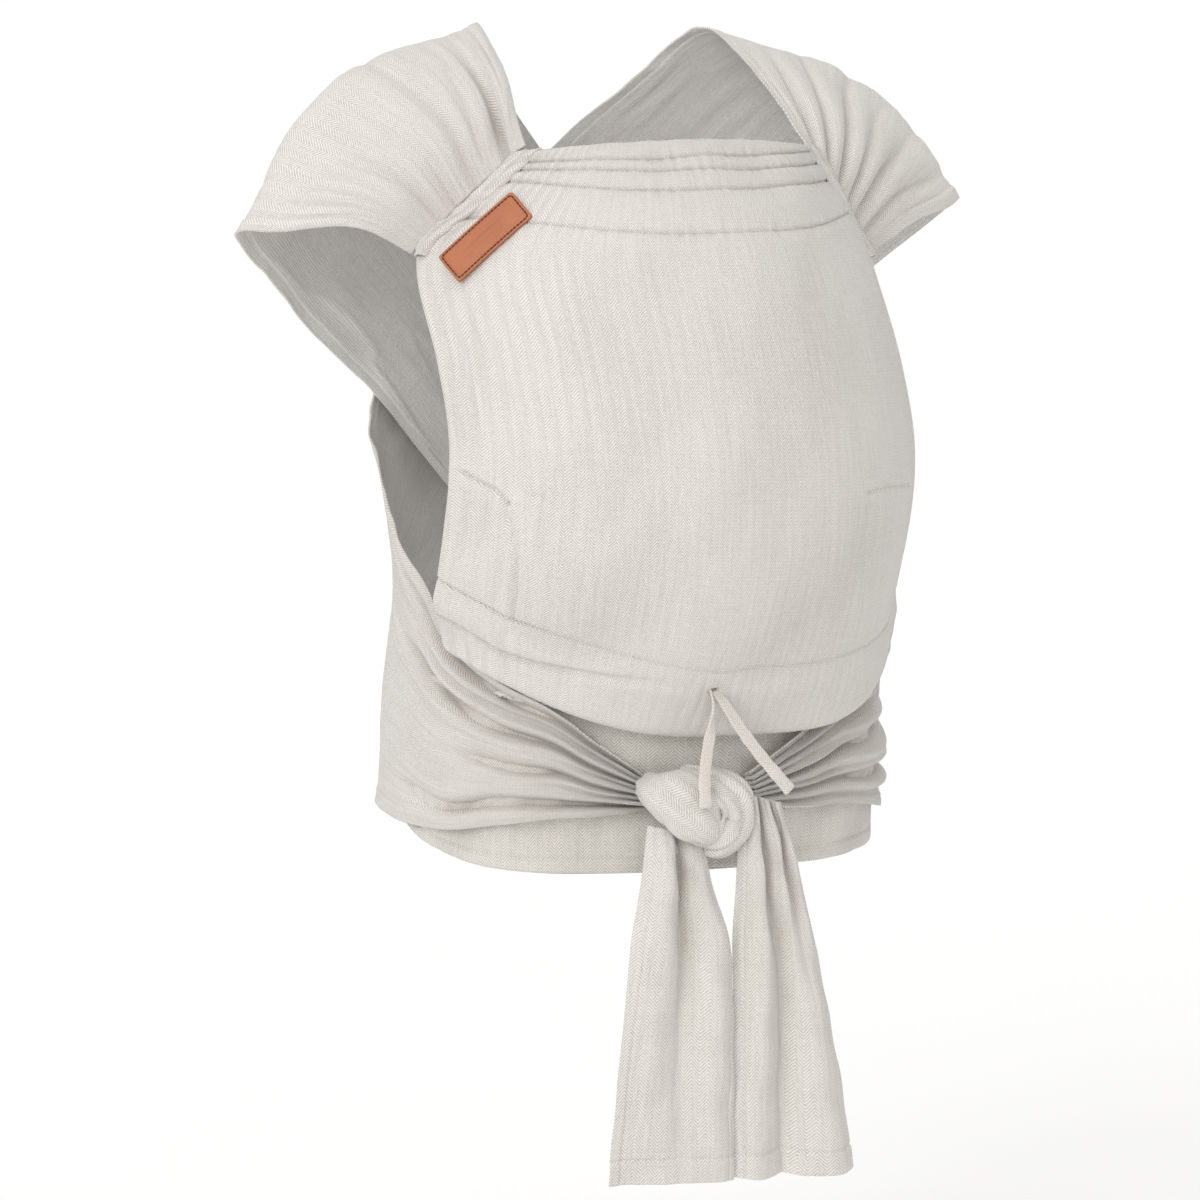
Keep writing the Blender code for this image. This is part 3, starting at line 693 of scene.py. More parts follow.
def make_panel():
    us = marks((0, 0.012, 14), (0.012, 0.988, 250), (0.988, 1, 14),
               (SLIT_AT[0] - 0.018, SLIT_AT[0] + 0.018, 40))
    vs = marks((0, 0.012, 10), (0.012, 0.27, 120), (0.27, 0.58, 60), (0.58, 0.97, 170),
               (0.97, 1, 22), (SLIT_AT[1] - 0.012, SLIT_AT[1] + 0.012, 26))
    u, v = np.meshgrid(us, vs)
    outwards = np.array((0.0, -1.0, 0.0))
    face = Grid(us, vs, panel(us, vs), outwards)
    side_edge = margin(u) * PANEL_WIDTH
    free_side = smooth(SEAM_ROW - 0.02, SEAM_ROW + 0.02, v)
    roll = (rolled(side_edge, 0.0038) * free_side + rolled(v * PANEL_LENGTH, 0.0040)
            + rolled((1 - v) * PANEL_LENGTH, 0.0090))
    face.points[..., 2] -= 0.0060 * smooth(0.93, 1.0, v)
    height = panel_heights(u, v)
    face.raise_by(height - np.minimum(roll, 0.0092))
    # painted shade: hollows are darkened, and the plain panel a little too
    face.crease = height - 0.0008
    outer = sheet_object("panel_face", face, [FACE, REVERSE])
    place(outer, "panel_cloth", *PANEL_NODES)

    us = marks((0, 0.012, 8), (0.012, 0.988, 90), (0.988, 1, 8))
    vs = marks((0, 0.012, 8), (0.012, 0.97, 90), (0.97, 1, 10))
    u, v = np.meshgrid(us, vs)
    inner = Grid(us, vs, panel(us, vs), -outwards)
    roll = rolled(margin(u) * PANEL_WIDTH, 0.0036) + rolled(margin(v) * PANEL_LENGTH, 0.0036)
    soft = 0.0010 * ripple(u * PANEL_WIDTH, v * PANEL_LENGTH, 0.05, 21)
    seams = sum(dent((v - curve(seam, u.ravel()).reshape(u.shape)) * PANEL_LENGTH, 0.0022)
                for seam in NECK_SEAMS)
    inner.raise_by(PANEL_DEPTH - np.minimum(roll, 0.0036) + soft - 0.0012 * seams)
    lining = sheet_object("panel_inner_face", inner, [REVERSE, REVERSE])
    place(lining, "lining_cloth", "panel_lining")
    return face


def panel_line(face, line, count=160):
    """Points and normals on the panel's face along a line of (u, v) points."""
    line = np.array(line)
    run = run_of(line)
    where = np.linspace(0, run[-1], count)
    return face.at(np.interp(where, run, line[:, 0]), np.interp(where, run, line[:, 1]))


def make_panel_stitches(face):
    even = np.linspace(0.03, 0.97, 120)
    lines = []
    for seam in NECK_SEAMS:
        lines.append(face.at(even, curve(seam, even) + 0.0022))
    side = PANEL_HEM / PANEL_WIDTH
    for u in (side, 1 - side):
        down = np.linspace(SEAM_ROW + 0.03, 0.985, 200)
        lines.append(face.at(np.full_like(down, u), down))
    for line in (LEG_SEAM_LEFT, LEG_SEAM_RIGHT, DART_LEFT, DART_RIGHT):
        lines.append(panel_line(face, line))
    lines.append(panel_line(face, [(u, v - 0.0035) for u, v in CHANNEL_TOP[:-1]], 300))
    place(stitches_object("panel_seam_stitches", lines, PALE_THREAD), "panel_cloth")


def make_slit(face):
    """Satin stitches all round the slit that the drawcord leaves by."""
    reach = np.array((0.0036, 0.0062))
    lines = []
    for angle in np.linspace(0, 2 * pi, 46, endpoint=False):
        u = SLIT_AT[0] + np.sign(cos(angle)) * abs(cos(angle)) ** 0.8 * reach / PANEL_WIDTH
        v = SLIT_AT[1] + sin(angle) * (reach - 0.0023) / PANEL_LENGTH
        lines.append(face.at(u, v))
    made = stitches_object("slit_satin_stitches", lines, PALE_THREAD, radius=0.00042,
                           pitch=0.0024, length=0.0026, sunk=-0.0002)
    place(made, "tape", "slit_stitching")


def make_seat_fold():
    """The panel's spare cloth, folded under and sewn to the waistband."""
    us, vs = np.linspace(0, 1, 200), np.linspace(0, 1, 26)
    rows = []
    for t in np.linspace(0, 1, 5):
        top = panel(0.14 + 0.80 * us, [0.985])[0] + np.array((0, 0.0085, 0.001))
        low = torso(236 - 112 * us, 0.113, BAND_OUT + 0.003)
        row = top * (1 - t) + low * t
        row[:, 2] -= 0.006 * sin(pi * t)
        rows.append(row)
    points = np.einsum("vr,rux->vux", spline_weights(5, vs), np.array(rows))
    grid = Grid(us, vs, points, np.array((0.0, -0.5, -1.0)))
    u, v = np.meshgrid(us, vs)
    grid.raise_by(0.0014 * pleats(u, v, 21, 0.5, 0.4, 31))
    made = sheet_object("seat_fold_cloth", grid, [BAND_FACE, REVERSE])
    place(made, "band_cloth", "seat_fold")


# ---------------------------------------------------------------- straps
STRAP_BREADTH = 0.20
STRAP_HEM = 0.0082
# How far the edge over the arm is moved up or down: height, v of its middle, spread in v.
ARM_EDGE_MOVES = {-1: ((-0.0125, 0.155, 0.075),),
                  1: ((0.008, 0.135, 0.07), (0.014, 0.28, 0.09))}
# Creases of the straps: u where they start, u where they end, depth and half breadth.
SEAM_CREASES = {
    -1: ((0.155, 0.13, 0.0078, 0.0042), (0.30, 0.24, 0.0026, 0.0034), (0.43, 0.42, 0.0040, 0.0034),
         (0.60, 0.60, 0.0024, 0.0034), (0.73, 0.80, 0.0034, 0.0036)),
    1: ((0.17, 0.16, 0.0046, 0.0032), (0.31, 0.33, 0.0040, 0.0028), (0.45, 0.52, 0.0048, 0.0032),
        (0.58, 0.66, 0.0038, 0.0028), (0.70, 0.80, 0.0046, 0.0030), (0.84, 0.93, 0.0032, 0.0026)),
}
# The same at the waist, with v where they begin; they all run on to the knot.
WAIST_CREASES = {
    -1: ((0.12, 0.10, 0.0036, 0.0030, 0.74), (0.26, 0.24, 0.0050, 0.0036, 0.66),
         (0.40, 0.38, 0.0034, 0.0030, 0.80), (0.52, 0.52, 0.0056, 0.0040, 0.70),
         (0.66, 0.64, 0.0036, 0.0030, 0.78), (0.78, 0.77, 0.0052, 0.0036, 0.68),
         (0.90, 0.90, 0.0034, 0.0030, 0.74)),
    1: ((0.09, 0.08, 0.0048, 0.0036, 0.62), (0.19, 0.20, 0.0040, 0.0030, 0.70),
        (0.31, 0.33, 0.0056, 0.0040, 0.66), (0.45, 0.45, 0.0034, 0.0030, 0.82),
        (0.57, 0.58, 0.0050, 0.0036, 0.76), (0.72, 0.71, 0.0040, 0.0032, 0.84),
        (0.86, 0.84, 0.0060, 0.0040, 0.70)),
}


def crease(distance, depth, breadth):
    """A sharp valley with a rounded fold on each side of it."""
    beside = dent(np.abs(distance) - 2.1 * breadth, 1.4 * breadth)
    return depth * (0.45 * beside - dent(distance, 0.8 * breadth))


def strap_heights(side, u, v, width):
    """Outward height of the strap's folds. width is the strap's breadth at each row."""
    wander = 0.30 * ripple(u * 0.4, v, 0.22, 40 + side) + 0.10 * ripple(u, v, 0.10, 50 + side)
    across = u * STRAP_BREADTH
    height = np.zeros_like(u)
    height -= 0.0016 * smooth(0.05, 0.0, v)
    for number, (start, end, depth, breadth) in enumerate(SEAM_CREASES[side]):
        centre = mix(start, end, smooth(0.0, 0.20, v))
        centre = centre + 0.012 * ripple(v, 0.0 * u, 0.16, 200 + number + side)
        fade = smooth(0.17 + 0.04 * (number % 3), 0.02, v)
        at_seam = 0.45 + 0.55 * smooth(0.0, 0.03, v)
        height += crease((u - centre) * width, depth * fade * at_seam, breadth * (1 + 7 * v))
    fine = smooth(0.10, 0.0, v) * smooth(0.16, 0.26, u)
    height += 0.0008 * fine * (ridges(u * 13 + 1.4 * wander) - 0.6)
    over = smooth(0.08, 0.25, v) * smooth(0.72, 0.5, v)
    height += 0.0022 * over * (ridges(u * 3.2 + 3.0 * v + 1.5 * wander) - 0.6)
    height += 0.0014 * over * ripple(across, v * 0.9, 0.06, 60 + side)
    waist = smooth(0.60, 0.84, v)
    knot = smooth(0.84, 0.97, v)
    for number, (start, end, depth, breadth, begin) in enumerate(WAIST_CREASES[side]):
        centre = mix(start, end, smooth(begin, 1.0, v))
        centre = centre + 0.010 * ripple(v, 0.0 * u, 0.13, 230 + number + side)
        fade = smooth(begin - 0.02, begin + 0.14, v)
        narrow = np.minimum(breadth, 0.045 * width)
        height += crease((u - centre) * width, 2.1 * depth * fade, 1.15 * narrow)
    height += 0.0010 * waist * (ridges(u * 7.3 + wander) - 0.6)
    height += 0.0022 * knot * (ridges(u * 6.0 + 0.5 * wander) - 0.55)
    height += 0.0020 * smooth(0.62, 0.80, v) * ripple(across, v * 0.9, 0.08, 64 + side) * (1 - knot)
    height += 0.0030 * dent(u - 0.05, 0.06) * dent(v - 0.70, 0.05)
    edge = margin(u) * width
    open_edge = smooth(0.02, 0.035, v) * smooth(0.86, 0.70, v)
    hem = 0.0009 * smooth(0.0090, 0.0075, edge) - 0.0008 * dent(edge - STRAP_HEM, 0.0008)
    height += hem * open_edge
    height += 0.0005 * dent(edge, 0.0022) * ripple(v, u * 0.0, 0.03, 70) * open_edge
    return height


def make_strap(name, side, covers):
    us = marks((0, 0.06, 14), (0.06, 0.94, 110), (0.94, 1, 14))
    vs = marks((0, 0.16, 90), (0.16, 0.62, 150), (0.62, 1, 200))
    points = loft(strap_rows(side), us, vs)
    arm_edge = smooth(0.45, 1.0, us)[None, :]
    moved = sum(size * dent(vs - middle, spread) for size, middle, spread in ARM_EDGE_MOVES[side])
    points[..., 2] += arm_edge * moved[:, None]
    outwards = points - np.array((0.0, 0.01, 0.0))
    outwards[..., 2] = np.where(points[..., 2] > 0.42, points[..., 2] - 0.40, 0)
    grid = Grid(us, vs, points, outwards)
    u, v = np.meshgrid(us, vs)
    width = np.linalg.norm(np.diff(points, axis=1), axis=2).sum(1)[:, None]
    height = strap_heights(side, u, v, width)
    grid.raise_by(height)
    # painted shade: only hollows deeper than 1.2 mm are darkened
    grid.crease = height + 0.0012
    made = sheet_object(f"wrap_strap_{name}", grid, [STRAP_FACE, REVERSE])
    place(made, "strap_cloth", *covers)

    down = np.linspace(0.03, 0.80, 500)
    inset = STRAP_HEM / np.interp(down, vs, width[:, 0])
    lines = [grid.at(inset, down), grid.at(1 - inset, down)]
    stitching = stitches_object(f"strap_hem_stitches_{name}", lines, PALE_THREAD, sunk=0.0001)
    place(stitching, "strap_cloth")


def make_seam_band(name, side):
    """The folded seam between a strap and the panel, with its topstitching."""
    us, vs = np.linspace(0, 1, 26), np.linspace(0, 1, 110)
    down = 0.002 + (SEAM_ROW - 0.004) * vs
    edge = panel([0.0 if side < 0 else 1.0], down)[:, 0]
    inner = panel([0.03 if side < 0 else 0.97], down)[:, 0]
    towards = unit(inner - edge)
    along = unit(np.gradient(edge, axis=0))
    up = np.cross(along, towards)
    up *= np.sign((up * (side * 0.5, -0.8, 0.3)).sum(-1, keepdims=True))
    outside = -0.0090 + 0.0080 * smooth(0.70, 1.0, vs)
    section = mix(outside[:, None], 0.0100, us[None, :])
    crown = 0.0042 - 0.0046 * np.abs(2 * us - 1) ** 4
    points = (edge[:, None] + towards[:, None] * section[..., None]
              + up[:, None] * crown[None, :, None])
    grid = Grid(us, vs, points, np.broadcast_to(up[:, None], points.shape))
    u, v = np.meshgrid(us, vs)
    grid.raise_by(0.0004 * ripple(v, u * 0.2, 0.12, 80)
                  - 0.0007 * dent(u - 0.30, 0.05) - 0.0005 * dent(u - 0.78, 0.04))
    # painted shade along the groove of the topstitching
    grid.crease = -0.0007 * dent(u - 0.30, 0.05)
    made = sheet_object(f"strap_seam_band_{name}", grid, [STRAP_FACE, REVERSE])
    place(made, "strap_cloth", f"strap_seam_{name}")
    even = np.linspace(0.02, 0.98, 100)
    stitching = stitches_object(f"seam_band_stitches_{name}",
                                [grid.at(np.full_like(even, 0.30), even)], PALE_THREAD)
    place(stitching, "strap_cloth")


# ---------------------------------------------------------------- waistband
BAND_LENGTH, BAND_HEIGHT = 0.45, 0.12


def hip_rise(turn_share):
    """Height of the waistband's lower edge, which rises over the hips."""
    return 0.034 * np.abs(2 * turn_share - 1) ** 4


def waistband_grid(out, towards, us, vs):
    u, v = np.meshgrid(us, vs)
    z = mix(BAND_HEIGHT, hip_rise(u), v)
    points = torso(82 + 196 * u, z, out)
    return u, v, z, Grid(us, vs, points, towards(points))


def make_waistband():
    us = marks((0, 0.01, 10), (0.01, 0.99, 300), (0.99, 1, 10))
    vs = marks((0, 0.06, 12), (0.06, 0.94, 110), (0.94, 1, 14))
    u, v, z, face = waistband_grid(BAND_OUT, lambda p: p * (1, 1, 0), us, vs)
    edge = margin(u) * BAND_LENGTH
    lip = margin(v) * BAND_HEIGHT
    raised = 0.0012 * ripple(u * BAND_LENGTH, v * BAND_HEIGHT, 0.06, 90)
    x = face.points[..., 0]
    over_knot = dent(x + 0.018, 0.040) * (x < 0.2)
    raised += 0.0085 * over_knot * smooth(0.052, 0.082, z) * smooth(0.120, 0.088, z)
    raised -= 0.0015 * over_knot * dent(z - 0.060, 0.006)
    raised += 0.0018 * pleats(u, v, 24, 0.6, 0.3, 91) * dent(z - 0.055, 0.022)
    raised -= 0.0012 * dent(lip - 0.010, 0.0010)
    roll = np.minimum(rolled(edge, 0.003) + rolled(lip, 0.0032), 0.0035)
    face.raise_by(raised - roll)
    # painted shade: hollows are darkened, and the plain waistband a little too
    face.crease = raised - 0.0006
    made = sheet_object("waistband_face", face, [BAND_FACE, REVERSE])
    place(made, "band_cloth", "waistband_outer", "waistband_pad")
    even = np.linspace(0.01, 0.99, 400)
    lines = [face.at(even, np.full_like(even, at)) for at in (0.085, 0.915)]
    place(stitches_object("waistband_stitches", lines, PALE_THREAD), "band_cloth")

    us = marks((0, 0.01, 6), (0.01, 0.99, 120), (0.99, 1, 6))
    vs = marks((0, 0.06, 8), (0.06, 0.94, 40), (0.94, 1, 8))
    u, v, _, inner = waistband_grid(0.0005, lambda p: -p * (1, 1, 0), us, vs)
    roll = rolled(margin(u) * BAND_LENGTH, 0.003) + rolled(margin(v) * BAND_HEIGHT, 0.003)
    inner.raise_by(0.0006 * ripple(u * BAND_LENGTH, v * BAND_HEIGHT, 0.05, 92) - roll)
    lining = sheet_object("waistband_inner_face", inner, [REVERSE, REVERSE])
    place(lining, "lining_cloth", "waistband_lining")


def tie_piece(name, us, vs, points, raised, creased):
    grid = Grid(us, vs, points, points * (1, 1, 0))
    grid.raise_by(raised)
    grid.crease = creased
    return sheet_object(name, grid, [BAND_FACE, REVERSE], pi / 2)


def make_waist_ties():
    """The waistband's ties, knotted behind with their ends tucked under them."""
    us, vs = np.linspace(0, 1, 60), np.linspace(0, 1, 160)
    u, v = np.meshgrid(us, vs)
    for name, side in (("right", 1), ("left", -1)):
        centre = mix(0.076, 0.045, smooth(0, 1, v))
        half = mix(0.040, 0.014, v ** 0.8)
        points = torso(side * mix(81, 5.0, v), centre + half * (1 - 2 * u), 0.0030 + 0.002 * v)
        folds = pleats(u, v, 5, 0.35, 0.6, 100 + side) * smooth(0.05, 0.8, v)
        made = tie_piece(f"waist_tie_cloth_{name}", us, vs, points,
                         0.0030 * folds + 0.0005 * ripple(u, v, 0.2, 102), 0.003 * folds)
        place(made, "band_cloth", f"waist_tie_{name}")

        heights = 0.041 - 0.003 * v + (0.011 + 0.003 * v) * (1 - 2 * u)
        points = torso(side * mix(7.0, 34, v), heights, mix(0.0085, 0.0066, v))
        folds = pleats(u, v, 3, 0.4, 0.7, 104 + side)
        raised = 0.0022 * folds * smooth(1.0, 0.3, v) + 0.0005 * ripple(u, v, 0.3, 106)
        made = tie_piece(f"waist_tie_tip_{name}", us, vs, points, raised, 0.002 * folds)
        place(made, "band_cloth", f"waist_tie_end_{name}")


# ---------------------------------------------------------------- bands swept for the knots
def swept_band(name, path, halves, facing, crown, folds, depth, seed, material, uv_turn=0.0):
    """A crowned, folded band of cloth along a path. halves are its half breadths, facing the way
    its face looks at each point of the path, crown how far its middle stands over its edges."""
    us, vs = np.linspace(0, 1, 56), np.linspace(0, 1, 120)
    middle, half = curve(path, vs), curve(np.array(halves)[:, None], vs)[:, 0]
    along = unit(np.gradient(middle, axis=0))
    up = square_to(along, curve(facing, vs))
    sideways = np.cross(along, up)
    turn = (us - 0.5) * radians(200)
    points = (middle[:, None] + sideways[:, None] * (half[:, None] * np.sin(turn))[..., None]
              + up[:, None] * (crown * np.cos(turn))[None, :, None])
    grid = Grid(us, vs, points, np.broadcast_to(up[:, None], points.shape))
    u, v = np.meshgrid(us, vs)
    wander = 0.35 * ripple(u * 0.5, v, 0.6, seed)
    height = depth * (ridges(u * folds + wander) - 0.6) + 0.0006 * ripple(u, v, 0.25, seed + 1)
    grid.raise_by(height)
    grid.crease = height
    return sheet_object(name, grid, [material, REVERSE], uv_turn)


KNOT_BANDS = (
    # name, replaces, path, half breadths, facing, crown, folds, fold depth
    ("knot_band_left", "knot_loop_left",
     ((-0.047, -0.128, 0.057), (-0.046, -0.143, 0.056), (-0.038, -0.151, 0.050),
      (-0.028, -0.1545, 0.041), (-0.018, -0.152, 0.0325), (-0.010, -0.142, 0.028)),
     (0.010, 0.0150, 0.0180, 0.0175, 0.0135, 0.007),
     ((-0.4, -0.5, 1), (-0.4, -1, 0.6), (-0.2, -1, 0.2), (0, -1, 0), (0.4, -1, -0.2),
      (1, -0.6, -0.3)),
     0.0075, 2.3, 0.0012),
    ("knot_band_right", "knot_loop_right",
     ((-0.027, -0.132, 0.062), (-0.014, -0.147, 0.058), (-0.002, -0.1535, 0.049),
      (0.001, -0.1535, 0.037), (-0.004, -0.1515, 0.027), (-0.012, -0.147, 0.0215),
      (-0.021, -0.138, 0.024)),
     (0.009, 0.0120, 0.0140, 0.0135, 0.0120, 0.0095, 0.006),
     ((-0.2, -0.6, 1), (0, -1, 0.7), (0.3, -1, 0.2), (0.4, -1, 0), (0.2, -1, -0.4),
      (-0.1, -1, -0.5), (-0.5, -0.4, -0.7)),
     0.0070, 4.1, 0.0021),
)


def make_knot():
    for name, node, *shape in KNOT_BANDS:
        made = swept_band(name, *shape, 120, STRAP_FACE)
        place(made, "strap_cloth", node)
    path = [torso(turn, 0.044, out)
            for turn, out in ((9, 0.006), (5, 0.013), (0, 0.016), (-5, 0.013), (-9, 0.006))]
    facing = [(x, 1, 0) for x in (0.5, 0.3, 0, -0.3, -0.5)]
    made = swept_band("waist_tie_knot", path, (0.008, 0.012, 0.0135, 0.012, 0.008), facing,
                      0.0075, 2.3, 0.0012, 140, BAND_FACE, uv_turn=0.4)
    place(made, "band_cloth", "waist_knot")


# ---------------------------------------------------------------- tails
# (share of the way down, left x, right x)
TAIL_EDGES = {
    "left": ((0.00, -0.058, -0.016), (0.20, -0.0655, -0.002), (0.40, -0.070, 0.001),
             (0.60, -0.0745, 0.001), (0.80, -0.079, 0.001), (1.00, -0.083, 0.001)),
    "right": ((0.00, 0.006, 0.046), (0.20, 0.003, 0.055), (0.40, 0.003, 0.064),
              (0.60, 0.003, 0.072), (0.80, 0.003, 0.080), (1.00, 0.003, 0.0855)),
}
# Section of each tail, left edge to right edge: share of its breadth, and distance forwards.
TAIL_SECTIONS = {
    "left": (
        ((0, 0), (0.16, 0.012), (0.34, 0.015), (0.46, 0.007), (0.55, -0.003), (0.64, 0.006),
         (0.76, 0.013), (0.90, 0.009), (1, 0.000)),
        ((0, 0), (0.15, 0.009), (0.31, 0.012), (0.44, 0.006), (0.53, -0.003), (0.64, 0.006),
         (0.78, 0.014), (0.91, 0.012), (1, 0.001)),
        ((0, 0.001), (0.14, 0.005), (0.28, 0.008), (0.42, 0.005), (0.53, 0.000), (0.65, 0.006),
         (0.80, 0.013), (0.92, 0.011), (1, 0.005)),
        ((0, 0.002), (0.14, 0.003), (0.28, 0.006), (0.42, 0.005), (0.54, 0.003), (0.66, 0.007),
         (0.80, 0.010), (0.92, 0.008), (1, 0.005)),
        ((0, 0.003), (0.14, 0.002), (0.28, 0.004), (0.42, 0.006), (0.56, 0.005), (0.68, 0.007),
         (0.80, 0.008), (0.92, 0.007), (1, 0.005)),
    ),
    "right": (
        ((0, 0), (0.14, 0.010), (0.30, 0.013), (0.42, 0.001), (0.52, 0.011), (0.64, 0.014),
         (0.74, 0.003), (0.86, 0.012), (1, 0.001)),
        ((0, 0), (0.14, 0.010), (0.32, 0.014), (0.46, 0.004), (0.54, 0.001), (0.66, 0.011),
         (0.80, 0.008), (0.90, 0.010), (1, 0.000)),
        ((0, 0.001), (0.13, 0.009), (0.28, 0.013), (0.42, 0.006), (0.50, -0.001), (0.62, 0.009),
         (0.78, 0.013), (0.90, 0.010), (1, 0.001)),
        ((0, 0.001), (0.12, 0.008), (0.24, 0.010), (0.34, 0.005), (0.43, -0.001), (0.56, 0.008),
         (0.74, 0.012), (0.88, 0.009), (1, 0.000)),
        ((0, 0.001), (0.12, 0.007), (0.22, 0.008), (0.32, 0.004), (0.41, -0.001), (0.54, 0.007),
         (0.72, 0.010), (0.88, 0.008), (1, -0.001)),
    ),
}
TAIL_TOPS = {"left": ((-0.054, -0.140, 0.034), (-0.018, -0.142, 0.026)),
             "right": ((0.006, -0.146, 0.052), (0.034, -0.142, 0.044))}
TAIL_BOTTOM = -0.186
TAIL_LENGTH, TAIL_BREADTH = 0.192, 0.11
TAIL_HEM, TAIL_SIDE_HEM = 0.0115, 0.008
TAIL_SAG = 0.30                 # how far the folds that stand forwards hang lower at the bottom


def make_tail(name):
    us = marks((0, 0.05, 10), (0.05, 0.95, 130), (0.95, 1, 10))
    vs = marks((0, 0.9, 190), (0.9, 1, 46))
    edges, sections = np.array(TAIL_EDGES[name]), np.array(TAIL_SECTIONS[name])
    rows = []
    for share in np.linspace(-0.25, 1, 9):
        at = max(share, 0.0)
        left, right = (np.interp(at, edges[:, 0], edges[:, k]) for k in (1, 2))
        level = at * (len(sections) - 1)
        low = int(min(level, len(sections) - 2))
        shape = sections[low] * (1 - (level - low)) + sections[low + 1] * (level - low)
        z = mix(TAIL_PIVOT[1], TAIL_BOTTOM, at)
        row = np.stack([mix(left, right, shape[:, 0]), TAIL_PIVOT[0] - shape[:, 1],
                        np.full(len(shape), z)], -1)
        if share < 0:
            up = -share / 0.25
            target = mix(*np.array(TAIL_TOPS[name]), shape[:, :1])
            target[:, 1] -= 0.5 * shape[:, 1]
            row = row * (1 - up) + target * up
        rows.append(row)
    points = loft(rows, us, vs)
    grid = Grid(us, vs, points, np.array((0.0, -1.0, 0.0)))
    u, v = np.meshgrid(us, vs)
    drop = TAIL_LENGTH * (1 - v)
    edge = margin(u) * TAIL_BREADTH
    height = (0.0006 * ripple(u * 0.12, v * 0.22, 0.035, 150)
              + 0.0010 * smooth(0.35, 0.0, v) * pleats(u, v, 9, 0.4, 0.4, 151)
              + 0.0006 * smooth(0.0085, 0.0075, edge)
              - 0.0007 * dent(edge - TAIL_SIDE_HEM, 0.0008)
              + 0.0006 * smooth(0.0120, 0.0110, drop) - 0.0008 * dent(drop - TAIL_HEM, 0.0009))
    grid.raise_by(height)
    grid.crease = height
    forwards = np.maximum(TAIL_PIVOT[0] - grid.points[..., 1], 0)
    grid.points[..., 2] -= TAIL_SAG * forwards * smooth(0.6, 1.0, v)
    made = sheet_object(f"tail_cloth_{name}", grid, [STRAP_FACE, REVERSE])
    even = np.linspace(0.01, 0.99, 120)
    down = np.linspace(0.2, 0.985, 160)
    lines = [grid.at(even, np.full_like(even, 1 - TAIL_HEM / 0.24))]
    lines += [grid.at(np.full_like(down, at), down) for at in (0.072, 0.928)]
    stitching = stitches_object(f"tail_stitches_{name}", lines, PALE_THREAD)
    for piece in (made, stitching):
        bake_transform(piece)
    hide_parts(f"tail_{name}")


# ---------------------------------------------------------------- drawcord tapes
TAPE_ROUTES = {
    "left": ((-0.0178, -0.1545, 0.1165), (-0.0184, -0.1602, 0.108), (-0.0205, -0.1612, 0.095),
             (-0.0235, -0.1620, 0.081), (-0.0265, -0.1640, 0.064), (-0.0268, -0.1662, 0.046)),
    "right": ((-0.0150, -0.1545, 0.1165), (-0.0105, -0.1606, 0.108), (-0.0010, -0.1606, 0.094),
              (0.0100, -0.1600, 0.080), (0.0215, -0.1592, 0.067), (0.0345, -0.1582, 0.053)),
}
TAPE_TWISTS = {"left": (55, 0.25, 0.55), "right": (20, 0.0, 0.5)}   # degrees, and where it ends
TAPE_WIDTH = 0.0080
FIRST_STITCHED = 9              # rings above it are inside the slit


def make_tape(name):
    """A flat folded tape with a stitched, doubled end."""
    route = np.array(TAPE_ROUTES[name])
    rings, sides = 90, 20
    where = np.linspace(0, 1, rings)
    middle = curve(route, where)
    along = unit(np.gradient(middle, axis=0))
    out = np.broadcast_to(np.array((0.0, -1.0, 0.0)), middle.shape)
    turn, begin, end = TAPE_TWISTS[name]
    twist = radians(turn) * (1 - smooth(begin, end, where))
    sideways = unit(np.cross(along, out))
    facing = np.cross(sideways, along)
    turned = sideways * np.cos(twist)[:, None] + facing * np.sin(twist)[:, None]
    faced = np.cross(turned, along)
    doubled = smooth(0.80, 0.83, where)
    half_width = 0.5 * TAPE_WIDTH * (0.82 + 0.14 * smooth(0.0, 0.5, where)) + 0.0002 * doubled
    half_thick = 0.00085 + 0.00055 * doubled
    angle = np.linspace(0, 2 * pi, sides, endpoint=False)
    flat_x = np.sign(np.cos(angle)) * np.abs(np.cos(angle)) ** 0.55
    flat_y = np.sign(np.sin(angle)) * np.abs(np.sin(angle)) ** 0.7
    wave = 1 + 0.04 * np.sin(where * 40)
    verts = (middle[:, None]
             + turned[:, None] * ((half_width * wave)[:, None] * flat_x)[..., None]
             + faced[:, None] * (half_thick[:, None] * flat_y)[..., None])
    run = run_of(middle)
    uv = np.stack(np.broadcast_arrays(0.004 * flat_x[None], run[:, None]), -1).reshape(-1, 2)
    made = mesh_object(f"drawcord_tape_{name}", verts.reshape(-1, 3), tube_faces(rings, sides),
                       [TAPE], uv=uv)
    lines = []
    for across in (-0.66, 0.66):
        points = middle + turned * (half_width * across)[:, None] \
            - faced * (half_thick * 0.93)[:, None]
        lines.append((points[FIRST_STITCHED:-4], -faced[FIRST_STITCHED:-4]))
    for ring in (76, 86):
        share = np.linspace(-0.66, 0.66, 8)[:, None]
        points = middle[ring] + turned[ring] * half_width[ring] * share \
            - faced[ring] * half_thick[ring] * 0.95
        lines.append((points, np.repeat(-faced[ring][None], 8, 0)))
    stitching = stitches_object(f"tape_stitches_{name}", lines, PALE_THREAD, radius=0.0002,
                                pitch=0.0022, length=0.0017)
    body = f"drawcord_end_{name}"
    place(made, "tape", f"drawcord_end_{name}", body=body)
    place(stitching, "tape", body=body)


# ---------------------------------------------------------------- label
LABEL_LENGTH, LABEL_WIDTH, LABEL_THICKNESS = 0.061, 0.0225, 0.0020
LABEL_AT = (0.080, 0.243)
LABEL_CORNER = 0.0022
LABEL_LIFT = 0.0052             # the label's middle over the panel's plain loft
LABEL_BEND = (1.1, 1.5)         # per metre, along and across
LABEL_TOWARDS = (-0.42, -0.90, 0.10)
LABEL_TURN = 0.45               # how strongly its face turns that way
BORDER_INSET = 0.00185


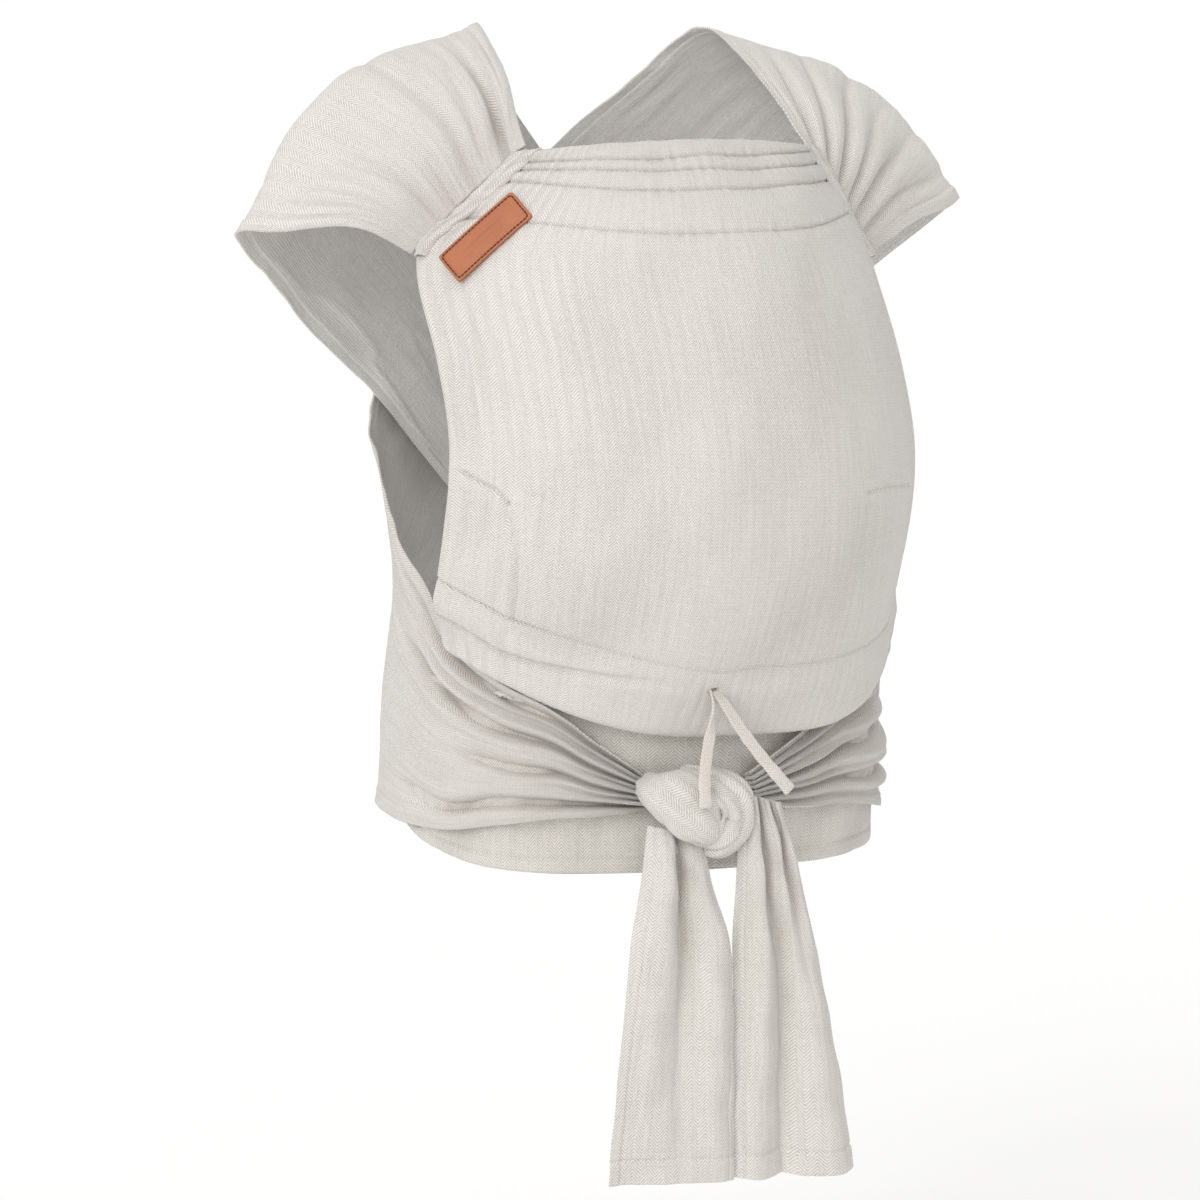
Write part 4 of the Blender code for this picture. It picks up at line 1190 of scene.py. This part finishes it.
def rounded_outline(half_length, half_width, radius, per_corner=8, per_side=20):
    arcs = []
    for corner, (sx, sy) in enumerate(((1, 1), (-1, 1), (-1, -1), (1, -1))):
        turn = pi / 2 * (corner + np.linspace(0, 1, per_corner + 1))
        arcs.append(np.stack([sx * (half_length - radius) + radius * np.cos(turn),
                              sy * (half_width - radius) + radius * np.sin(turn)], -1))
    share = np.arange(1, per_side)[:, None] / per_side
    outline = []
    for arc, following in zip(arcs, arcs[1:] + arcs[:1]):
        outline += [arc, arc[-1] * (1 - share) + following[0] * share]
    return np.concatenate(outline)


def label_frame():
    step = 0.003
    u, v = LABEL_AT
    spot = panel([u - step, u, u + step], [v - step, v, v + step])
    centre = spot[1, 1]
    across, down = spot[1, 2] - spot[1, 0], spot[2, 1] - spot[0, 1]
    facing = -np.cross(across, down)
    facing = unit(unit(facing) + LABEL_TURN * np.array(LABEL_TOWARDS))
    edge = panel([0.0], [0.0, SEAM_ROW])[:, 0]
    along = square_to(facing, edge[1] - edge[0])
    return centre, along, np.cross(facing, along), facing


def label_point(flat, height):
    """Flat label coordinates bent over the panel."""
    centre, along, aside, facing = label_frame()
    a, b = flat[..., 0], flat[..., 1]
    bend = -LABEL_BEND[0] * a ** 2 - LABEL_BEND[1] * b ** 2
    return (centre + a[..., None] * along + b[..., None] * aside
            + (height + bend + LABEL_LIFT)[..., None] * facing)


def make_label():
    outline = rounded_outline(LABEL_LENGTH / 2, LABEL_WIDTH / 2, LABEL_CORNER)
    half = np.array((LABEL_LENGTH / 2, LABEL_WIDTH / 2))
    top, edge = LABEL_THICKNESS / 2, 0.0006
    insets = ((0.0, -top, 0.30), (0.0, -top + edge, 0.30), (0.0, top - edge, 0.25),
              (0.0002, top - 0.0002, 0.1), (edge, top, 0.0), (0.0012, top, -0.1),
              (0.0016, top - 0.0003, 0.30), (0.0021, top - 0.0003, 0.30), (0.0025, top, 0.0),
              (0.0045, top, 0.0), (0.0070, top, 0.0), (0.0090, top, 0.0))
    rings, creases = [], []
    for inset, height, tint in insets:
        shrink = (half - inset) / half
        flat = outline * shrink
        rough = 0.00005 * ripple(flat[:, 0], flat[:, 1], 0.004, 160)
        rings.append(label_point(flat, height + rough))
        creases.append(np.full(len(flat), tint))
    verts = np.concatenate(rings)
    faces = tube_faces(len(rings), len(outline))
    made = mesh_object("blank_leather_label", verts, faces, [LEATHER],
                       crease=np.concatenate(creases))
    place(made, "leather", "leather_label")
    line = outline * (half - BORDER_INSET) / half
    line = np.concatenate([line, line[:1]])
    points = label_point(line, np.full(len(line), top - 0.0001))
    facing = np.repeat(label_frame()[3][None], len(points), 0)
    stitching = stitches_object("label_border_stitches", [(points, facing)], DARK_THREAD,
                                radius=0.00042, pitch=0.0027, length=0.0023)
    place(stitching, "thread", "label_stitching")


# ---------------------------------------------------------------- floor and light
FLOOR_REACH = 60.0
FLOOR_HEIGHT = -0.30


def make_stage():
    verts = [(x * FLOOR_REACH, y * FLOOR_REACH, FLOOR_HEIGHT)
             for x, y in ((-1, -1), (1, -1), (1, 1), (-1, 1))]
    n = Nodes("floor")
    speck = n.noise(n.local(), 3.0, 3.0)
    n.surface(n.blend(speck, (0.955, 0.955, 0.955), (0.97, 0.97, 0.97)), 0.9)
    mesh_object("floor", verts, [(0, 1, 2, 3)], [n.material])


def distant_light(name, spot, softness, strength):
    data = bpy.data.lights.new(name, "SUN")
    data.angle = radians(softness)
    data.energy = strength
    light = bpy.data.objects.new(name, data)
    light.location = spot
    light.rotation_euler = Vector(spot).to_track_quat("Z", "Y").to_euler()
    bpy.context.scene.collection.objects.link(light)


def make_light():
    world = bpy.data.worlds.new("world")
    world.use_nodes = True
    background = world.node_tree.nodes["Background"]
    background.inputs["Color"].default_value = (1.0, 0.992, 0.982, 1.0)
    background.inputs["Strength"].default_value = 0.68
    bpy.context.scene.world = world
    distant_light("key", (-3.2, -2.6, 2.0), 30.0, 0.87)
    distant_light("front", (-2.2, -4.0, 0.1), 40.0, 0.60)
    distant_light("top", (-0.8, -0.2, 4.5), 50.0, 0.80)
    bpy.context.scene.view_settings.view_transform = "Standard"


# ---------------------------------------------------------------- make everything
panel_face = make_panel()
make_panel_stitches(panel_face)
make_slit(panel_face)
make_seat_fold()
make_strap("left", -1, ("strap_shoulder_left", "strap_back_left", "strap_waist_right"))
make_strap("right", 1, ("strap_shoulder_right", "strap_back_right", "strap_waist_left"))
make_seam_band("left", -1)
make_seam_band("right", 1)
make_waistband()
make_waist_ties()
make_knot()
for maker in (make_tail, make_tape):
    maker("left")
    maker("right")
make_label()
make_stage()
make_light()
